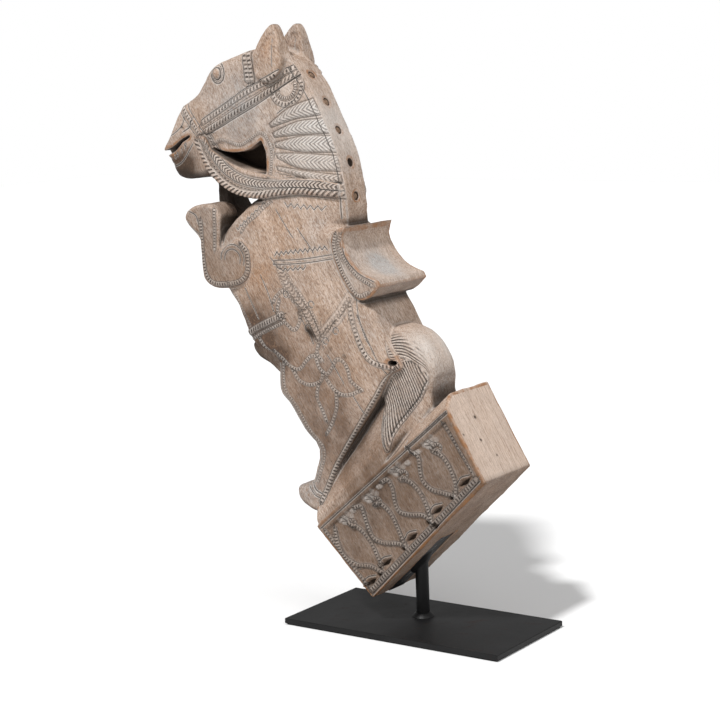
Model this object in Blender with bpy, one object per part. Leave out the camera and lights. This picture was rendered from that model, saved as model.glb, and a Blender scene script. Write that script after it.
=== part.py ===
"""Carved teak horse strut on a black steel stand, modelled as separate pieces.

The horse, its saddle, tail and plinth are carved from one timber. It was made to stand
at an angle, so the plinth is tilted and is held from below by a steel strap, an upright
rod and a base plate. Units are metres, +Z is up, the plate's long side runs along X and
the horse faces -X. The origin is the centre of the felt's underside.
"""

import math

import bmesh
import bpy
from mathutils import Matrix, Vector

# --- driving dimensions -------------------------------------------------------------
GAP = 0.0003                     # clearance kept between touching pieces

PLATE_LENGTH = 0.280
PLATE_DEPTH = 0.140
PLATE_THICKNESS = 0.006
PLATE_EDGE = 0.0008              # rounding of the plate's edges
FELT_THICKNESS = 0.0012
FELT_INSET = 0.002

MID_Y = 0.012                    # the carving's middle plane, which the rod stands in
ROD_X = -0.006
ROD_RADIUS = 0.0075
WELD_LEG = 0.005                 # width and height of a weld fillet

TILT = math.radians(45.0)        # slope of the plinth's underside
PLINTH_LOW = (-0.041, 0.036)     # the underside's lower end, as (x, z)
PLINTH_HALF = 0.050              # half of the plinth's thickness

STRAP_LENGTH = 0.100
STRAP_WIDTH = 0.030
STRAP_THICKNESS = 0.0045
SCREW_POSITIONS = (-0.042, -0.025, 0.025, 0.042)
SCREW_LENGTH = 0.024
SCREW_RADIUS = 0.0020
SCREW_HEAD_RADIUS = 0.0042
SCREW_HEAD_DEPTH = 0.0024
SCREW_SLOT = (0.0011, 0.012, 0.0020)

PEG_RADIUS = 0.0040
PEG_LENGTH = 0.022
PEG_HOLE_HEIGHTS = (0.613, 0.583, 0.552, 0.516, 0.479)
EMPTY_HOLE = 4                   # this peg is lost, and its hole is open

BODY_HALF = 0.046                # half of the horse's thickness at its belly
CREST_HALF = 0.019
HEAD_HALF = 0.032
NECK_SWELL = 0.009               # how much the neck thickens towards the shoulders
MUZZLE_TAPER = 0.008
EAR_SPAN = (0.008, 0.034)        # an ear's inner and outer face, from the middle plane
FORELEG_SPAN = (0.011, 0.048)
KNEE_SPAN = (0.009, 0.043)
TAIL_HALF = 0.040
SADDLE_HALF = 0.047
THROAT_WEB_HALF = 0.005          # what is left of the wood behind each throat pocket
GROOVE_DEPTH = 0.014
BEYOND = 0.080                   # a cutter that starts past the wood's face reaches here

# --- outlines in the side plane, as (x, z) ------------------------------------------
CREST = [(-0.147, 0.630), (-0.133, 0.615), (-0.120, 0.597), (-0.103, 0.563),
         (-0.087, 0.528), (-0.079, 0.494), (-0.076, 0.450)]

# The neck's foot, the jaw, the muzzle and the forehead, up to the near ear.
HEAD_FRONT = [(-0.082, 0.420), (-0.150, 0.425), (-0.183, 0.478), (-0.206, 0.483),
              (-0.224, 0.490), (-0.239, 0.500), (-0.254, 0.511), (-0.270, 0.501),
              (-0.296, 0.497), (-0.322, 0.498), (-0.331, 0.505), (-0.336, 0.524),
              (-0.343, 0.530), (-0.332, 0.544), (-0.321, 0.565), (-0.302, 0.583),
              (-0.283, 0.594), (-0.270, 0.610), (-0.256, 0.626), (-0.230, 0.634),
              (-0.196, 0.643), (-0.168, 0.640)]

EAR = [(-0.191, 0.628), (-0.191, 0.644), (-0.180, 0.658), (-0.165, 0.669),
       (-0.157, 0.667), (-0.151, 0.647), (-0.149, 0.625), (-0.165, 0.612),
       (-0.183, 0.614)]

TRUNK = [(-0.183, 0.480), (-0.214, 0.458), (-0.240, 0.430), (-0.246, 0.402),
         (-0.232, 0.372), (-0.223, 0.353), (-0.210, 0.325), (-0.199, 0.311),
         (-0.172, 0.297), (-0.172, 0.262), (-0.157, 0.244), (-0.137, 0.218),
         (-0.114, 0.196), (-0.121, 0.170), (-0.139, 0.152), (-0.135, 0.138),
         (-0.117, 0.129), (-0.102, 0.131), (-0.080, 0.125), (0.030, 0.215),
         (0.040, 0.246), (0.010, 0.285), (-0.022, 0.338), (-0.031, 0.355),
         (-0.040, 0.369), (-0.055, 0.390), (-0.071, 0.420), (-0.077, 0.450)]

SADDLE = [(-0.076, 0.446), (-0.062, 0.449), (-0.064, 0.432), (-0.055, 0.414),
          (-0.041, 0.400), (-0.021, 0.392), (-0.019, 0.386), (-0.031, 0.374),
          (-0.046, 0.370), (-0.061, 0.384), (-0.075, 0.409), (-0.080, 0.430)]

TAIL = [(-0.060, 0.318), (-0.044, 0.333), (-0.020, 0.338), (0.002, 0.334),
        (0.019, 0.321), (0.029, 0.303), (0.032, 0.286), (0.027, 0.268),
        (0.022, 0.244), (-0.008, 0.230), (-0.040, 0.260)]

NEAR_FORELEG = [(-0.288, 0.453), (-0.281, 0.464), (-0.260, 0.470), (-0.244, 0.468),
                (-0.236, 0.457), (-0.238, 0.422), (-0.214, 0.431), (-0.196, 0.419),
                (-0.197, 0.392), (-0.212, 0.379), (-0.250, 0.375), (-0.264, 0.385),
                (-0.267, 0.425), (-0.283, 0.445)]

FAR_FORELEG = [(-0.284, 0.506), (-0.286, 0.480), (-0.285, 0.462), (-0.276, 0.444),
               (-0.255, 0.420), (-0.235, 0.400), (-0.226, 0.430), (-0.246, 0.452),
               (-0.264, 0.472), (-0.266, 0.506)]

FAR_HIND_KNEE = [(-0.200, 0.320), (-0.232, 0.306), (-0.254, 0.294), (-0.248, 0.283),
                 (-0.233, 0.272), (-0.205, 0.256), (-0.160, 0.235), (-0.150, 0.300)]

THROAT = [(-0.249, 0.532), (-0.228, 0.529), (-0.204, 0.531), (-0.184, 0.541),
          (-0.177, 0.526), (-0.174, 0.506), (-0.204, 0.511), (-0.228, 0.520)]

LEG_GROOVE = [(-0.004, 0.299), (-0.021, 0.287), (-0.044, 0.251), (-0.066, 0.219),
              (-0.090, 0.182), (-0.112, 0.133), (-0.104, 0.133), (-0.080, 0.184),
              (-0.060, 0.212), (-0.033, 0.240), (-0.014, 0.280)]

# The plinth's top edge is broken back on its near side.
PLINTH_NEAR = [(-0.114, 0.110), (0.064, 0.260), (0.108, 0.185), PLINTH_LOW]
PLINTH_FAR = [(-0.117, 0.113), (0.055, 0.270), (0.108, 0.185), PLINTH_LOW]


# --- helpers ------------------------------------------------------------------------
def clear_scene():
    for obj in list(bpy.data.objects):
        bpy.data.objects.remove(obj, do_unlink=True)


def make_material(name, colour, roughness, metallic):
    material = bpy.data.materials.new(name)
    material.use_nodes = True
    shader = material.node_tree.nodes["Principled BSDF"]
    shader.inputs["Base Color"].default_value = (*colour, 1.0)
    shader.inputs["Roughness"].default_value = roughness
    shader.inputs["Metallic"].default_value = metallic
    return material


def new_object(name, mesh_builder):
    """A new object whose mesh is what is left in mesh_builder, with normals outwards."""
    bmesh.ops.recalc_face_normals(mesh_builder, faces=mesh_builder.faces)
    mesh = bpy.data.meshes.new(name)
    mesh_builder.to_mesh(mesh)
    mesh_builder.free()
    obj = bpy.data.objects.new(name, mesh)
    bpy.context.scene.collection.objects.link(obj)
    return obj


def slab(name, outline, near_y, far_y, rounding=0.0):
    """A closed outline drawn out from near_y to far_y; either may be a function of (x, z)."""
    def depth(value, point):
        return value(point) if callable(value) else value

    builder = bmesh.new()
    near = [builder.verts.new((p[0], depth(near_y, p), p[1])) for p in outline]
    far = [builder.verts.new((p[0], depth(far_y, p), p[1])) for p in outline]
    builder.faces.new(near)
    builder.faces.new(far[::-1])
    for i in range(len(outline)):
        j = (i + 1) % len(outline)
        builder.faces.new((near[i], near[j], far[j], far[i]))
    if rounding:
        rims = [e for e in builder.edges if len({v in near for v in e.verts}) == 1]
        bmesh.ops.bevel(builder, geom=rims, offset=rounding, segments=2, profile=0.5,
                        affect="EDGES", clamp_overlap=True)
    bmesh.ops.triangulate(builder, faces=builder.faces)
    return new_object(name, builder)


def centred_slab(name, outline, half, rounding=0.0):
    """A slab that reaches as far to each side of the carving's middle plane."""
    if callable(half):
        return slab(name, outline, lambda p: MID_Y - half(p), lambda p: MID_Y + half(p), rounding)
    return slab(name, outline, MID_Y - half, MID_Y + half, rounding)


def cylinder(name, radius, length, sides=24):
    """A round bar from z = 0 down to z = -length."""
    builder = bmesh.new()
    bmesh.ops.create_cone(builder, cap_ends=True, segments=sides, radius1=radius,
                          radius2=radius, depth=length,
                          matrix=Matrix.Translation((0.0, 0.0, -length / 2)))
    return new_object(name, builder)


def lathe(name, profile, sides=24):
    """A closed profile of (radius, z) points turned about Z; points on the axis are shared."""
    builder = bmesh.new()
    rings = []
    for radius, z in profile:
        if radius == 0.0:
            rings.append([builder.verts.new((0.0, 0.0, z))] * sides)
            continue
        angles = [2 * math.pi * k / sides for k in range(sides)]
        rings.append([builder.verts.new((radius * math.cos(a), radius * math.sin(a), z))
                      for a in angles])
    closes_on_axis = profile[0][0] == 0.0
    count = len(rings) - 1 if closes_on_axis else len(rings)
    for i in range(count):
        first, second = rings[i], rings[(i + 1) % len(rings)]
        for k in range(sides):
            corners = (first[k], first[(k + 1) % sides], second[(k + 1) % sides], second[k])
            unique = list(dict.fromkeys(corners))
            if len(unique) > 2:
                builder.faces.new(unique)
    return new_object(name, builder)


def apply_boolean(target, tool, operation):
    """Joins the tool to the target or cuts it away, and removes the tool."""
    modifier = target.modifiers.new("boolean", "BOOLEAN")
    modifier.operation = operation
    modifier.object = tool
    graph = bpy.context.evaluated_depsgraph_get()
    mesh = bpy.data.meshes.new_from_object(target.evaluated_get(graph))
    target.modifiers.clear()
    target.data = mesh
    bpy.data.objects.remove(tool, do_unlink=True)


def finish(obj, material, smooth_angle=math.radians(35.0)):
    obj.data.materials.clear()
    obj.data.materials.append(material)
    obj.data.shade_smooth()
    obj.data.set_sharp_from_angle(angle=smooth_angle)
    return obj


def underside_height(x):
    """Height of the plinth's underside above x."""
    return PLINTH_LOW[1] + (x - PLINTH_LOW[0]) * math.tan(TILT)


def strap_frame():
    """Origin where the rod's axis meets the underside, X up the slope, Z out of the wood."""
    place = Matrix.Translation((ROD_X, MID_Y, underside_height(ROD_X)))
    slope = Vector((math.cos(TILT), 0.0, math.sin(TILT)))
    outward = Vector((math.sin(TILT), 0.0, -math.cos(TILT)))
    across = outward.cross(slope)
    turn = Matrix((slope, across, outward)).transposed().to_4x4()
    return place @ turn


def crest_place(height):
    """A frame on the mane's crest at this height, with Z pointing out of the wood."""
    for (x0, z0), (x1, z1) in zip(CREST, CREST[1:]):
        if z1 <= height <= z0:
            x = x0 + (x1 - x0) * (z0 - height) / (z0 - z1)
            outward = Vector((z0 - z1, 0.0, x1 - x0)).normalized()
            turn = outward.to_track_quat("Z", "Y").to_matrix().to_4x4()
            return Matrix.Translation((x, MID_Y, height)) @ turn
    raise ValueError("height is off the crest")


# --- the carving --------------------------------------------------------------------
def share_between(value, start, end):
    """0 at start and 1 at end, held there beyond them."""
    return min(max((value - start) / (end - start), 0.0), 1.0)


def head_half(point):
    """The neck is thickest along the throat and narrows to the crest."""
    x, z = point
    crest_distance = min(math.hypot(x - cx, z - cz) for cx, cz in CREST)
    towards_throat = share_between(crest_distance, 0.0, 0.060)
    towards_muzzle = share_between(x, -0.255, -0.335)
    towards_shoulders = share_between(z, 0.540, 0.460)
    widest = HEAD_HALF + NECK_SWELL * towards_shoulders
    half = CREST_HALF + (widest - CREST_HALF) * towards_throat
    return half - MUZZLE_TAPER * towards_muzzle


def make_plinth_block():
    builder = bmesh.new()
    near = [builder.verts.new((x, MID_Y - PLINTH_HALF, z)) for x, z in PLINTH_NEAR]
    far = [builder.verts.new((x, MID_Y + PLINTH_HALF, z)) for x, z in PLINTH_FAR]
    builder.faces.new(near)
    builder.faces.new(far[::-1])
    for i in range(len(near)):
        j = (i + 1) % len(near)
        builder.faces.new((near[i], near[j], far[j], far[i]))
    bmesh.ops.triangulate(builder, faces=builder.faces)
    return new_object("horse_carving", builder)


def side_slab(name, outline, span, side, rounding=0.0):
    """A slab on the near (-1) or far (1) side, across a span from the middle plane."""
    ends = sorted(MID_Y + side * reach for reach in span)
    return slab(name, outline, ends[0], ends[1], rounding)


def carving_parts():
    """The masses of the horse that are joined to the plinth."""
    return [
        centred_slab("trunk", TRUNK, BODY_HALF, rounding=0.011),
        centred_slab("head_and_neck", CREST + HEAD_FRONT, head_half, rounding=0.006),
        side_slab("near_ear", EAR, EAR_SPAN, -1, rounding=0.004),
        side_slab("far_ear", EAR, EAR_SPAN, 1, rounding=0.004),
        centred_slab("saddle", SADDLE, SADDLE_HALF, rounding=0.002),
        centred_slab("tail", TAIL, TAIL_HALF, rounding=0.009),
        side_slab("near_foreleg", NEAR_FORELEG, FORELEG_SPAN, -1, rounding=0.006),
        side_slab("far_foreleg", FAR_FORELEG, FORELEG_SPAN, 1, rounding=0.006),
        side_slab("far_hind_knee", FAR_HIND_KNEE, KNEE_SPAN, 1, rounding=0.006),
    ]


def carving_cutters():
    """Pockets and grooves that are cut into both sides of the horse."""
    cutters = []
    for side in (-1, 1):
        cutters.append(side_slab("throat", THROAT, (THROAT_WEB_HALF, BEYOND), side))
        groove = (BODY_HALF - GROOVE_DEPTH, BEYOND)
        cutters.append(side_slab("groove", LEG_GROOVE, groove, side))
    return cutters


def peg_hole_cutters():
    cutters = []
    above, spare = 0.010, 0.002
    for height in PEG_HOLE_HEIGHTS:
        hole = cylinder("peg_hole", PEG_RADIUS + GAP, PEG_LENGTH + spare + above, sides=20)
        hole.matrix_world = crest_place(height) @ Matrix.Translation((0.0, 0.0, above))
        cutters.append(hole)
    return cutters


def strap_recess_cutters():
    """The strap's bed, and a pilot hole for each screw."""
    frame = strap_frame()
    below, spare = 0.005, 0.002
    recess = strap_blank("recess", GAP, STRAP_THICKNESS + GAP, below)
    recess.matrix_world = frame
    cutters = [recess]
    for along in SCREW_POSITIONS:
        pilot = cylinder("pilot", SCREW_RADIUS + GAP, SCREW_LENGTH + spare, sides=12)
        pilot.matrix_world = frame @ Matrix.Translation((along, 0.0, 0.0))
        cutters.append(pilot)
    return cutters


def make_carving(material):
    carving = make_plinth_block()
    for part in carving_parts():
        apply_boolean(carving, part, "UNION")
    for cutter in carving_cutters() + peg_hole_cutters() + strap_recess_cutters():
        bpy.context.view_layer.update()
        apply_boolean(carving, cutter, "DIFFERENCE")
    return finish(carving, material)


def make_pegs(material):
    """Turned pegs driven into the crest, which once held a mane of hair or a fitting."""
    for number, height in enumerate(PEG_HOLE_HEIGHTS, start=1):
        if number == EMPTY_HOLE:
            continue
        r = PEG_RADIUS
        crown = [(0.0, -0.0004), (r * 0.6, -0.0006), (r * 0.9, -0.0011), (r, -0.0020)]
        point = [(r, -PEG_LENGTH + 0.002), (r * 0.75, -PEG_LENGTH), (0.0, -PEG_LENGTH)]
        profile = crown + point
        peg = lathe(f"mane_peg_{number}", profile, sides=20)
        peg.matrix_world = crest_place(height)
        finish(peg, material)


# --- the stand ----------------------------------------------------------------------
def strap_blank(name, clearance, depth, outside):
    """A flat bar let into the underside, from depth inside the wood to outside it."""
    builder = bmesh.new()
    half_length = STRAP_LENGTH / 2 + clearance
    half_width = STRAP_WIDTH / 2 + clearance
    bmesh.ops.create_cube(builder, size=1.0)
    for vert in builder.verts:
        vert.co.x *= 2 * half_length
        vert.co.y *= 2 * half_width
        vert.co.z = outside if vert.co.z > 0 else -depth
    return new_object(name, builder)


def make_strap(material):
    """The let-in bar, drilled and countersunk for its screws."""
    strap = strap_blank("mounting_strap", 0.0, STRAP_THICKNESS, 0.0)
    frame = strap_frame()
    strap.matrix_world = frame
    wide, narrow = SCREW_HEAD_RADIUS + GAP, SCREW_RADIUS + GAP
    above, below = 0.002, -0.010
    rim = -2 * GAP
    profile = [(0.0, above), (wide, above), (wide, rim), (narrow, rim - SCREW_HEAD_DEPTH),
               (narrow, below), (0.0, below)]
    for along in SCREW_POSITIONS:
        hole = lathe("screw_hole", profile, sides=20)
        hole.matrix_world = frame @ Matrix.Translation((along, 0.0, 0.0))
        bpy.context.view_layer.update()
        apply_boolean(strap, hole, "DIFFERENCE")
    finish(strap, material)


def make_screws(material):
    """Countersunk wood screws with a slotted head, flush with the strap."""
    frame = strap_frame()
    r, head = SCREW_RADIUS, SCREW_HEAD_RADIUS
    top, rim, point = -0.0001, -0.0004, 0.005
    profile = [(0.0, top), (head, top), (head, rim), (r, -SCREW_HEAD_DEPTH - 0.0002),
               (r, -SCREW_LENGTH + point), (0.0, -SCREW_LENGTH)]
    for number, along in enumerate(SCREW_POSITIONS, start=1):
        screw = lathe(f"strap_screw_{number}", profile, sides=16)
        slot = bmesh.new()
        bmesh.ops.create_cube(slot, size=1.0)
        bmesh.ops.scale(slot, vec=SCREW_SLOT, verts=slot.verts)
        apply_boolean(screw, new_object("slot", slot), "DIFFERENCE")
        screw.matrix_world = frame @ Matrix.Translation((along, 0.0, 0.0))
        finish(screw, material)


def plate_top():
    return FELT_THICKNESS + GAP + PLATE_THICKNESS


def make_plate(material):
    builder = bmesh.new()
    bmesh.ops.create_cube(builder, size=1.0)
    size = (PLATE_LENGTH, PLATE_DEPTH, PLATE_THICKNESS)
    bmesh.ops.scale(builder, vec=size, verts=builder.verts)
    bmesh.ops.bevel(builder, geom=builder.edges[:], offset=PLATE_EDGE, segments=2,
                    profile=0.5, affect="EDGES")
    plate = new_object("base_plate", builder)
    plate.location = (0.0, 0.0, plate_top() - PLATE_THICKNESS / 2)
    finish(plate, material)


def make_felt(material):
    builder = bmesh.new()
    bmesh.ops.create_cube(builder, size=1.0)
    size = (PLATE_LENGTH - 2 * FELT_INSET, PLATE_DEPTH - 2 * FELT_INSET, FELT_THICKNESS)
    bmesh.ops.scale(builder, vec=size, verts=builder.verts)
    felt = new_object("base_felt", builder)
    felt.location = (0.0, 0.0, FELT_THICKNESS / 2)
    finish(felt, material)


def slope_below(x, clearance):
    """Height of a plane that lies this far below the plinth's underside."""
    return underside_height(x) - clearance / math.cos(TILT)


def make_rod(material):
    """A round bar, square at its foot and cut to the strap's slope at its top."""
    sides = 32
    builder = bmesh.new()
    low, high = [], []
    for k in range(sides):
        angle = 2 * math.pi * k / sides
        x = ROD_X + ROD_RADIUS * math.cos(angle)
        y = MID_Y + ROD_RADIUS * math.sin(angle)
        low.append(builder.verts.new((x, y, plate_top() + GAP)))
        high.append(builder.verts.new((x, y, slope_below(x, GAP))))
    builder.faces.new(low[::-1])
    builder.faces.new(high)
    for k in range(sides):
        j = (k + 1) % sides
        builder.faces.new((low[k], low[j], high[j], high[k]))
    finish(new_object("upright_rod", builder), material)


def weld_ring(name, place_vertex, material, sides=32):
    """A fillet round the rod; place_vertex gives the height for (x, distance from the joint)."""
    inner = ROD_RADIUS + GAP
    section = [(inner, GAP), (inner + WELD_LEG, GAP), (inner + 0.62 * WELD_LEG, 0.50 * WELD_LEG),
               (inner + 0.25 * WELD_LEG, 0.85 * WELD_LEG), (inner, WELD_LEG)]
    builder = bmesh.new()
    rings = []
    for k in range(sides):
        angle = 2 * math.pi * k / sides
        ring = []
        for radius, distance in section:
            x = ROD_X + radius * math.cos(angle)
            y = MID_Y + radius * math.sin(angle)
            ring.append(builder.verts.new((x, y, place_vertex(x, distance))))
        rings.append(ring)
    for k in range(sides):
        first, second = rings[k], rings[(k + 1) % sides]
        for i in range(len(section)):
            j = (i + 1) % len(section)
            builder.faces.new((first[i], first[j], second[j], second[i]))
    finish(new_object(name, builder), material)


def make_stand(steel, bright_steel, felt):
    make_plate(steel)
    make_felt(felt)
    make_rod(steel)
    make_strap(steel)
    make_screws(bright_steel)
    weld_ring("foot_weld", lambda x, distance: plate_top() + distance, steel)
    weld_ring("strap_weld", slope_below, steel)


def main():
    clear_scene()
    wood = make_material("limewashed_teak", (0.42, 0.31, 0.22), 0.85, 0.0)
    peg_wood = make_material("peg_wood", (0.20, 0.11, 0.06), 0.80, 0.0)
    steel = make_material("blackened_steel", (0.025, 0.025, 0.026), 0.50, 0.9)
    screw_steel = make_material("screw_steel", (0.25, 0.25, 0.25), 0.40, 1.0)
    felt = make_material("black_felt", (0.012, 0.012, 0.012), 0.95, 0.0)
    make_carving(wood)
    make_pegs(peg_wood)
    make_stand(steel, screw_steel, felt)


main()
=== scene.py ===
"""Looks of the carved horse strut: the carving's full sculpture, and every material.

The carving is sculpted as a distance field around the CAD's own outlines, turned into one
mesh, and then given its beads, ropes, hair, scrolls and frieze as relief. Outlines and
strokes are (x, z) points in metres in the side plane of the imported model's frame.
"""

import math

import bpy
import numpy as np
from mathutils import Matrix, Vector


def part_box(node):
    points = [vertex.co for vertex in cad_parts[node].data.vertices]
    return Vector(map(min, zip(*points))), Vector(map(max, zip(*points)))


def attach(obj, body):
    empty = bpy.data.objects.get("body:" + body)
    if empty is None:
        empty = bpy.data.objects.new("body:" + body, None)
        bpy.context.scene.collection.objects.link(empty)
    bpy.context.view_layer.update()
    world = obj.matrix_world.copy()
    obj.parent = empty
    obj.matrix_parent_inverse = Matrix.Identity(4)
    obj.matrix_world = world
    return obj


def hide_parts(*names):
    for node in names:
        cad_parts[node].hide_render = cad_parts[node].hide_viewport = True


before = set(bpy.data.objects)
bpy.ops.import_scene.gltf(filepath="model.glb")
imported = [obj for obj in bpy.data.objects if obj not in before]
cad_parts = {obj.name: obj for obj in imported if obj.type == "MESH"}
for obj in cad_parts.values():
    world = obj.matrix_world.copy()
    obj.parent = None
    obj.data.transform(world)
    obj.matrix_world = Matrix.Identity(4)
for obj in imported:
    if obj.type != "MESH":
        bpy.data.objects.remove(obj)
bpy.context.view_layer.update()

# --- places taken from the frame ----------------------------------------------------
carving_low, carving_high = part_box("horse_carving")
rod_low, rod_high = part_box("upright_rod")
MID_Y = (rod_low.y + rod_high.y) / 2
ROD_X = (rod_low.x + rod_high.x) / 2
PLINTH_HALF = (carving_high.y - carving_low.y) / 2
PLINTH_FOOT = (-0.041, carving_low.z)     # lowest corner of the plinth
TILT = math.radians(45.0)

STEP = 0.0012   # spacing of the sculpting grid
FIBRE_LEAN = math.radians(-30.0)          # the timber's fibres lean this far from upright


# --- curves -------------------------------------------------------------------------
def smooth(points, closed=False, per=5):
    """Points on a Catmull-Rom curve; a point with a third value is kept as a sharp corner."""
    plain = [np.array(p[:2], float) for p in points]
    corner = [len(p) > 2 for p in points]
    count = len(points)
    curve = []
    for i in range(count if closed else count - 1):
        j = (i + 1) % count
        a, b = plain[i], plain[j]
        before_known = (closed or i > 0) and not corner[i]
        after_known = (closed or j < count - 1) and not corner[j]
        before = plain[i - 1] if before_known else 2 * a - b
        after = plain[(j + 1) % count] if after_known else 2 * b - a
        for k in range(per):
            t = k / per
            curve.append(0.5 * (2 * a + (b - before) * t
                                + (2 * before - 5 * a + 4 * b - after) * t ** 2
                                + (3 * a - before - 3 * b + after) * t ** 3))
    if not closed:
        curve.append(plain[-1])
    return np.array(curve)


def outline_distance(points, x, z):
    """Signed distance to a closed outline, negative inside."""
    best = np.full(x.shape, 1e9)
    inside = np.zeros(x.shape, bool)
    for (ax, az), (bx, bz) in zip(points, np.roll(points, -1, axis=0)):
        ex, ez = bx - ax, bz - az
        px, pz = x - ax, z - az
        t = np.clip((px * ex + pz * ez) / max(ex * ex + ez * ez, 1e-12), 0, 1)
        best = np.minimum(best, (px - t * ex) ** 2 + (pz - t * ez) ** 2)
        rise = ez if abs(ez) > 1e-12 else 1e-12
        inside ^= ((az > z) != (bz > z)) & (px < ex * pz / rise)
    return np.where(inside, -1.0, 1.0) * np.sqrt(best)


def path_distance(points, x, z):
    """(distance across the path, with its side as sign; distance along it; its length)."""
    best = np.full(x.shape, 1e9)
    across = np.full(x.shape, 1e9)
    along = np.zeros(x.shape)
    travelled = 0.0
    for (ax, az), (bx, bz) in zip(points, points[1:]):
        ex, ez = bx - ax, bz - az
        length = math.hypot(ex, ez)
        if length < 1e-9:
            continue
        px, pz = x - ax, z - az
        t = np.clip((px * ex + pz * ez) / length ** 2, 0, 1)
        square = (px - t * ex) ** 2 + (pz - t * ez) ** 2
        side = np.where(px * ez - pz * ex > 0, 1.0, -1.0)
        closer = square < best
        best = np.where(closer, square, best)
        across = np.where(closer, side * np.sqrt(square), across)
        along = np.where(closer, travelled + t * length, along)
        travelled += length
    return across, along, travelled


def ramp(value, low, high):
    """0 at low, 1 at high, smooth between."""
    t = np.clip((value - low) / (high - low), 0.0, 1.0)
    return t * t * (3 - 2 * t)


def waves(x, y, z, size, seed, octaves=3):
    """Smooth noise of about -1 to 1, as a sum of plane waves; size is its length scale."""
    draw = np.random.default_rng(seed)
    total = np.zeros(np.broadcast(x, y, z).shape)
    weight = 0.0
    for octave in range(octaves):
        strength = 0.55 ** octave
        for _ in range(5):
            direction = draw.normal(size=3)
            direction *= 2 * math.pi / (size * 0.5 ** octave) / np.linalg.norm(direction)
            phase = draw.uniform(0, 2 * math.pi)
            total += strength * np.sin(direction[0] * x + direction[1] * y + direction[2] * z + phase)
        weight += strength * 5 ** 0.5
    return total / weight


# --- outlines of the carving's masses -----------------------------------------------
CREST = [(-0.147, 0.630), (-0.133, 0.615), (-0.120, 0.597), (-0.103, 0.563),
         (-0.087, 0.528), (-0.079, 0.494), (-0.076, 0.450)]

HEAD = CREST + [
    (-0.082, 0.420), (-0.150, 0.425), (-0.183, 0.478), (-0.206, 0.482),
    (-0.224, 0.489), (-0.239, 0.499), (-0.252, 0.508), (-0.268, 0.502),
    (-0.290, 0.498), (-0.3095, 0.4985), (-0.3195, 0.506), (-0.3265, 0.519),
    (-0.3365, 0.530), (-0.328, 0.545), (-0.317, 0.565), (-0.302, 0.583),
    (-0.283, 0.594), (-0.270, 0.609), (-0.256, 0.625), (-0.230, 0.634),
    (-0.196, 0.643), (-0.168, 0.640)]

REIN = [(-0.275, 0.544), (-0.268, 0.528), (-0.256, 0.511), (-0.241, 0.498),
        (-0.225, 0.488), (-0.206, 0.481), (-0.183, 0.478), (-0.160, 0.481),
        (-0.127, 0.484), (-0.094, 0.481), (-0.0785, 0.478, 1), (-0.0800, 0.4935, 1),
        (-0.107, 0.499), (-0.137, 0.500), (-0.160, 0.501), (-0.176, 0.505),
        (-0.204, 0.511), (-0.228, 0.520), (-0.250, 0.532), (-0.262, 0.547)]

EAR = [(-0.188, 0.620), (-0.187, 0.641), (-0.179, 0.658), (-0.168, 0.669),
       (-0.160, 0.667), (-0.154, 0.647), (-0.151, 0.622), (-0.165, 0.608),
       (-0.182, 0.609)]

TRUNK = [(-0.183, 0.480), (-0.214, 0.459), (-0.240, 0.431), (-0.247, 0.403),
         (-0.234, 0.374), (-0.219, 0.353), (-0.2075, 0.326), (-0.196, 0.310),
         (-0.167, 0.297), (-0.1655, 0.262), (-0.151, 0.244), (-0.1335, 0.218),
         (-0.114, 0.197), (-0.121, 0.168), (-0.127, 0.158), (-0.1450, 0.151),
         (-0.1415, 0.134), (-0.119, 0.1240), (-0.106, 0.130), (-0.100, 0.146),
         (-0.083, 0.183), (-0.063, 0.213), (-0.044, 0.240), (-0.026, 0.267),
         (-0.013, 0.287), (-0.002, 0.293), (0.002, 0.300), (-0.012, 0.320),
         (-0.022, 0.338), (-0.031, 0.355), (-0.040, 0.369), (-0.055, 0.390),
         (-0.071, 0.420), (-0.077, 0.450), (-0.080, 0.474), (-0.110, 0.482),
         (-0.150, 0.482)]

CORE = [(-0.160, 0.300), (-0.150, 0.240), (-0.118, 0.180), (-0.112, 0.140),
        (-0.108, 0.118), (0.030, 0.235), (0.036, 0.252), (0.000, 0.300), (-0.060, 0.330)]

WEB = [(-0.116, 0.128), (-0.106, 0.150), (-0.086, 0.185), (-0.066, 0.211),
       (-0.044, 0.238), (-0.026, 0.262), (-0.030, 0.300), (-0.010, 0.325),
       (0.010, 0.322), (0.025, 0.305), (0.031, 0.286), (0.031, 0.270), (0.030, 0.250),
       (0.018, 0.222), (-0.006, 0.198), (-0.060, 0.146), (-0.108, 0.112)]

TAIL = [(-0.060, 0.320), (-0.044, 0.333), (-0.020, 0.339), (0.002, 0.335),
        (0.019, 0.323), (0.030, 0.306), (0.034, 0.290), (0.029, 0.279),
        (0.020, 0.263), (0.005, 0.246), (-0.006, 0.233), (-0.012, 0.220), (-0.016, 0.203),
        (-0.023, 0.222), (-0.026, 0.250), (-0.040, 0.280)]

TAIL_ROOT = [(-0.050, 0.325), (-0.020, 0.332), (0.005, 0.325), (0.022, 0.300),
             (0.024, 0.275), (0.022, 0.250), (0.010, 0.230), (-0.030, 0.200), (-0.050, 0.250)]

SADDLE = [(-0.076, 0.446, 1), (-0.062, 0.449, 1), (-0.066, 0.433), (-0.057, 0.415),
          (-0.042, 0.400), (-0.021, 0.392, 1), (-0.018, 0.386, 1), (-0.031, 0.374),
          (-0.046, 0.370), (-0.061, 0.382), (-0.075, 0.407), (-0.081, 0.430)]

NEAR_FORELEG = [(-0.288, 0.455), (-0.281, 0.465), (-0.260, 0.471), (-0.244, 0.469),
                (-0.2365, 0.458), (-0.237, 0.438), (-0.236, 0.421), (-0.222, 0.428),
                (-0.208, 0.432), (-0.195, 0.422), (-0.193, 0.405), (-0.199, 0.389),
                (-0.211, 0.379), (-0.230, 0.3755), (-0.250, 0.3755), (-0.2625, 0.384),
                (-0.2655, 0.400), (-0.2665, 0.420), (-0.2685, 0.432), (-0.283, 0.446)]

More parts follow.
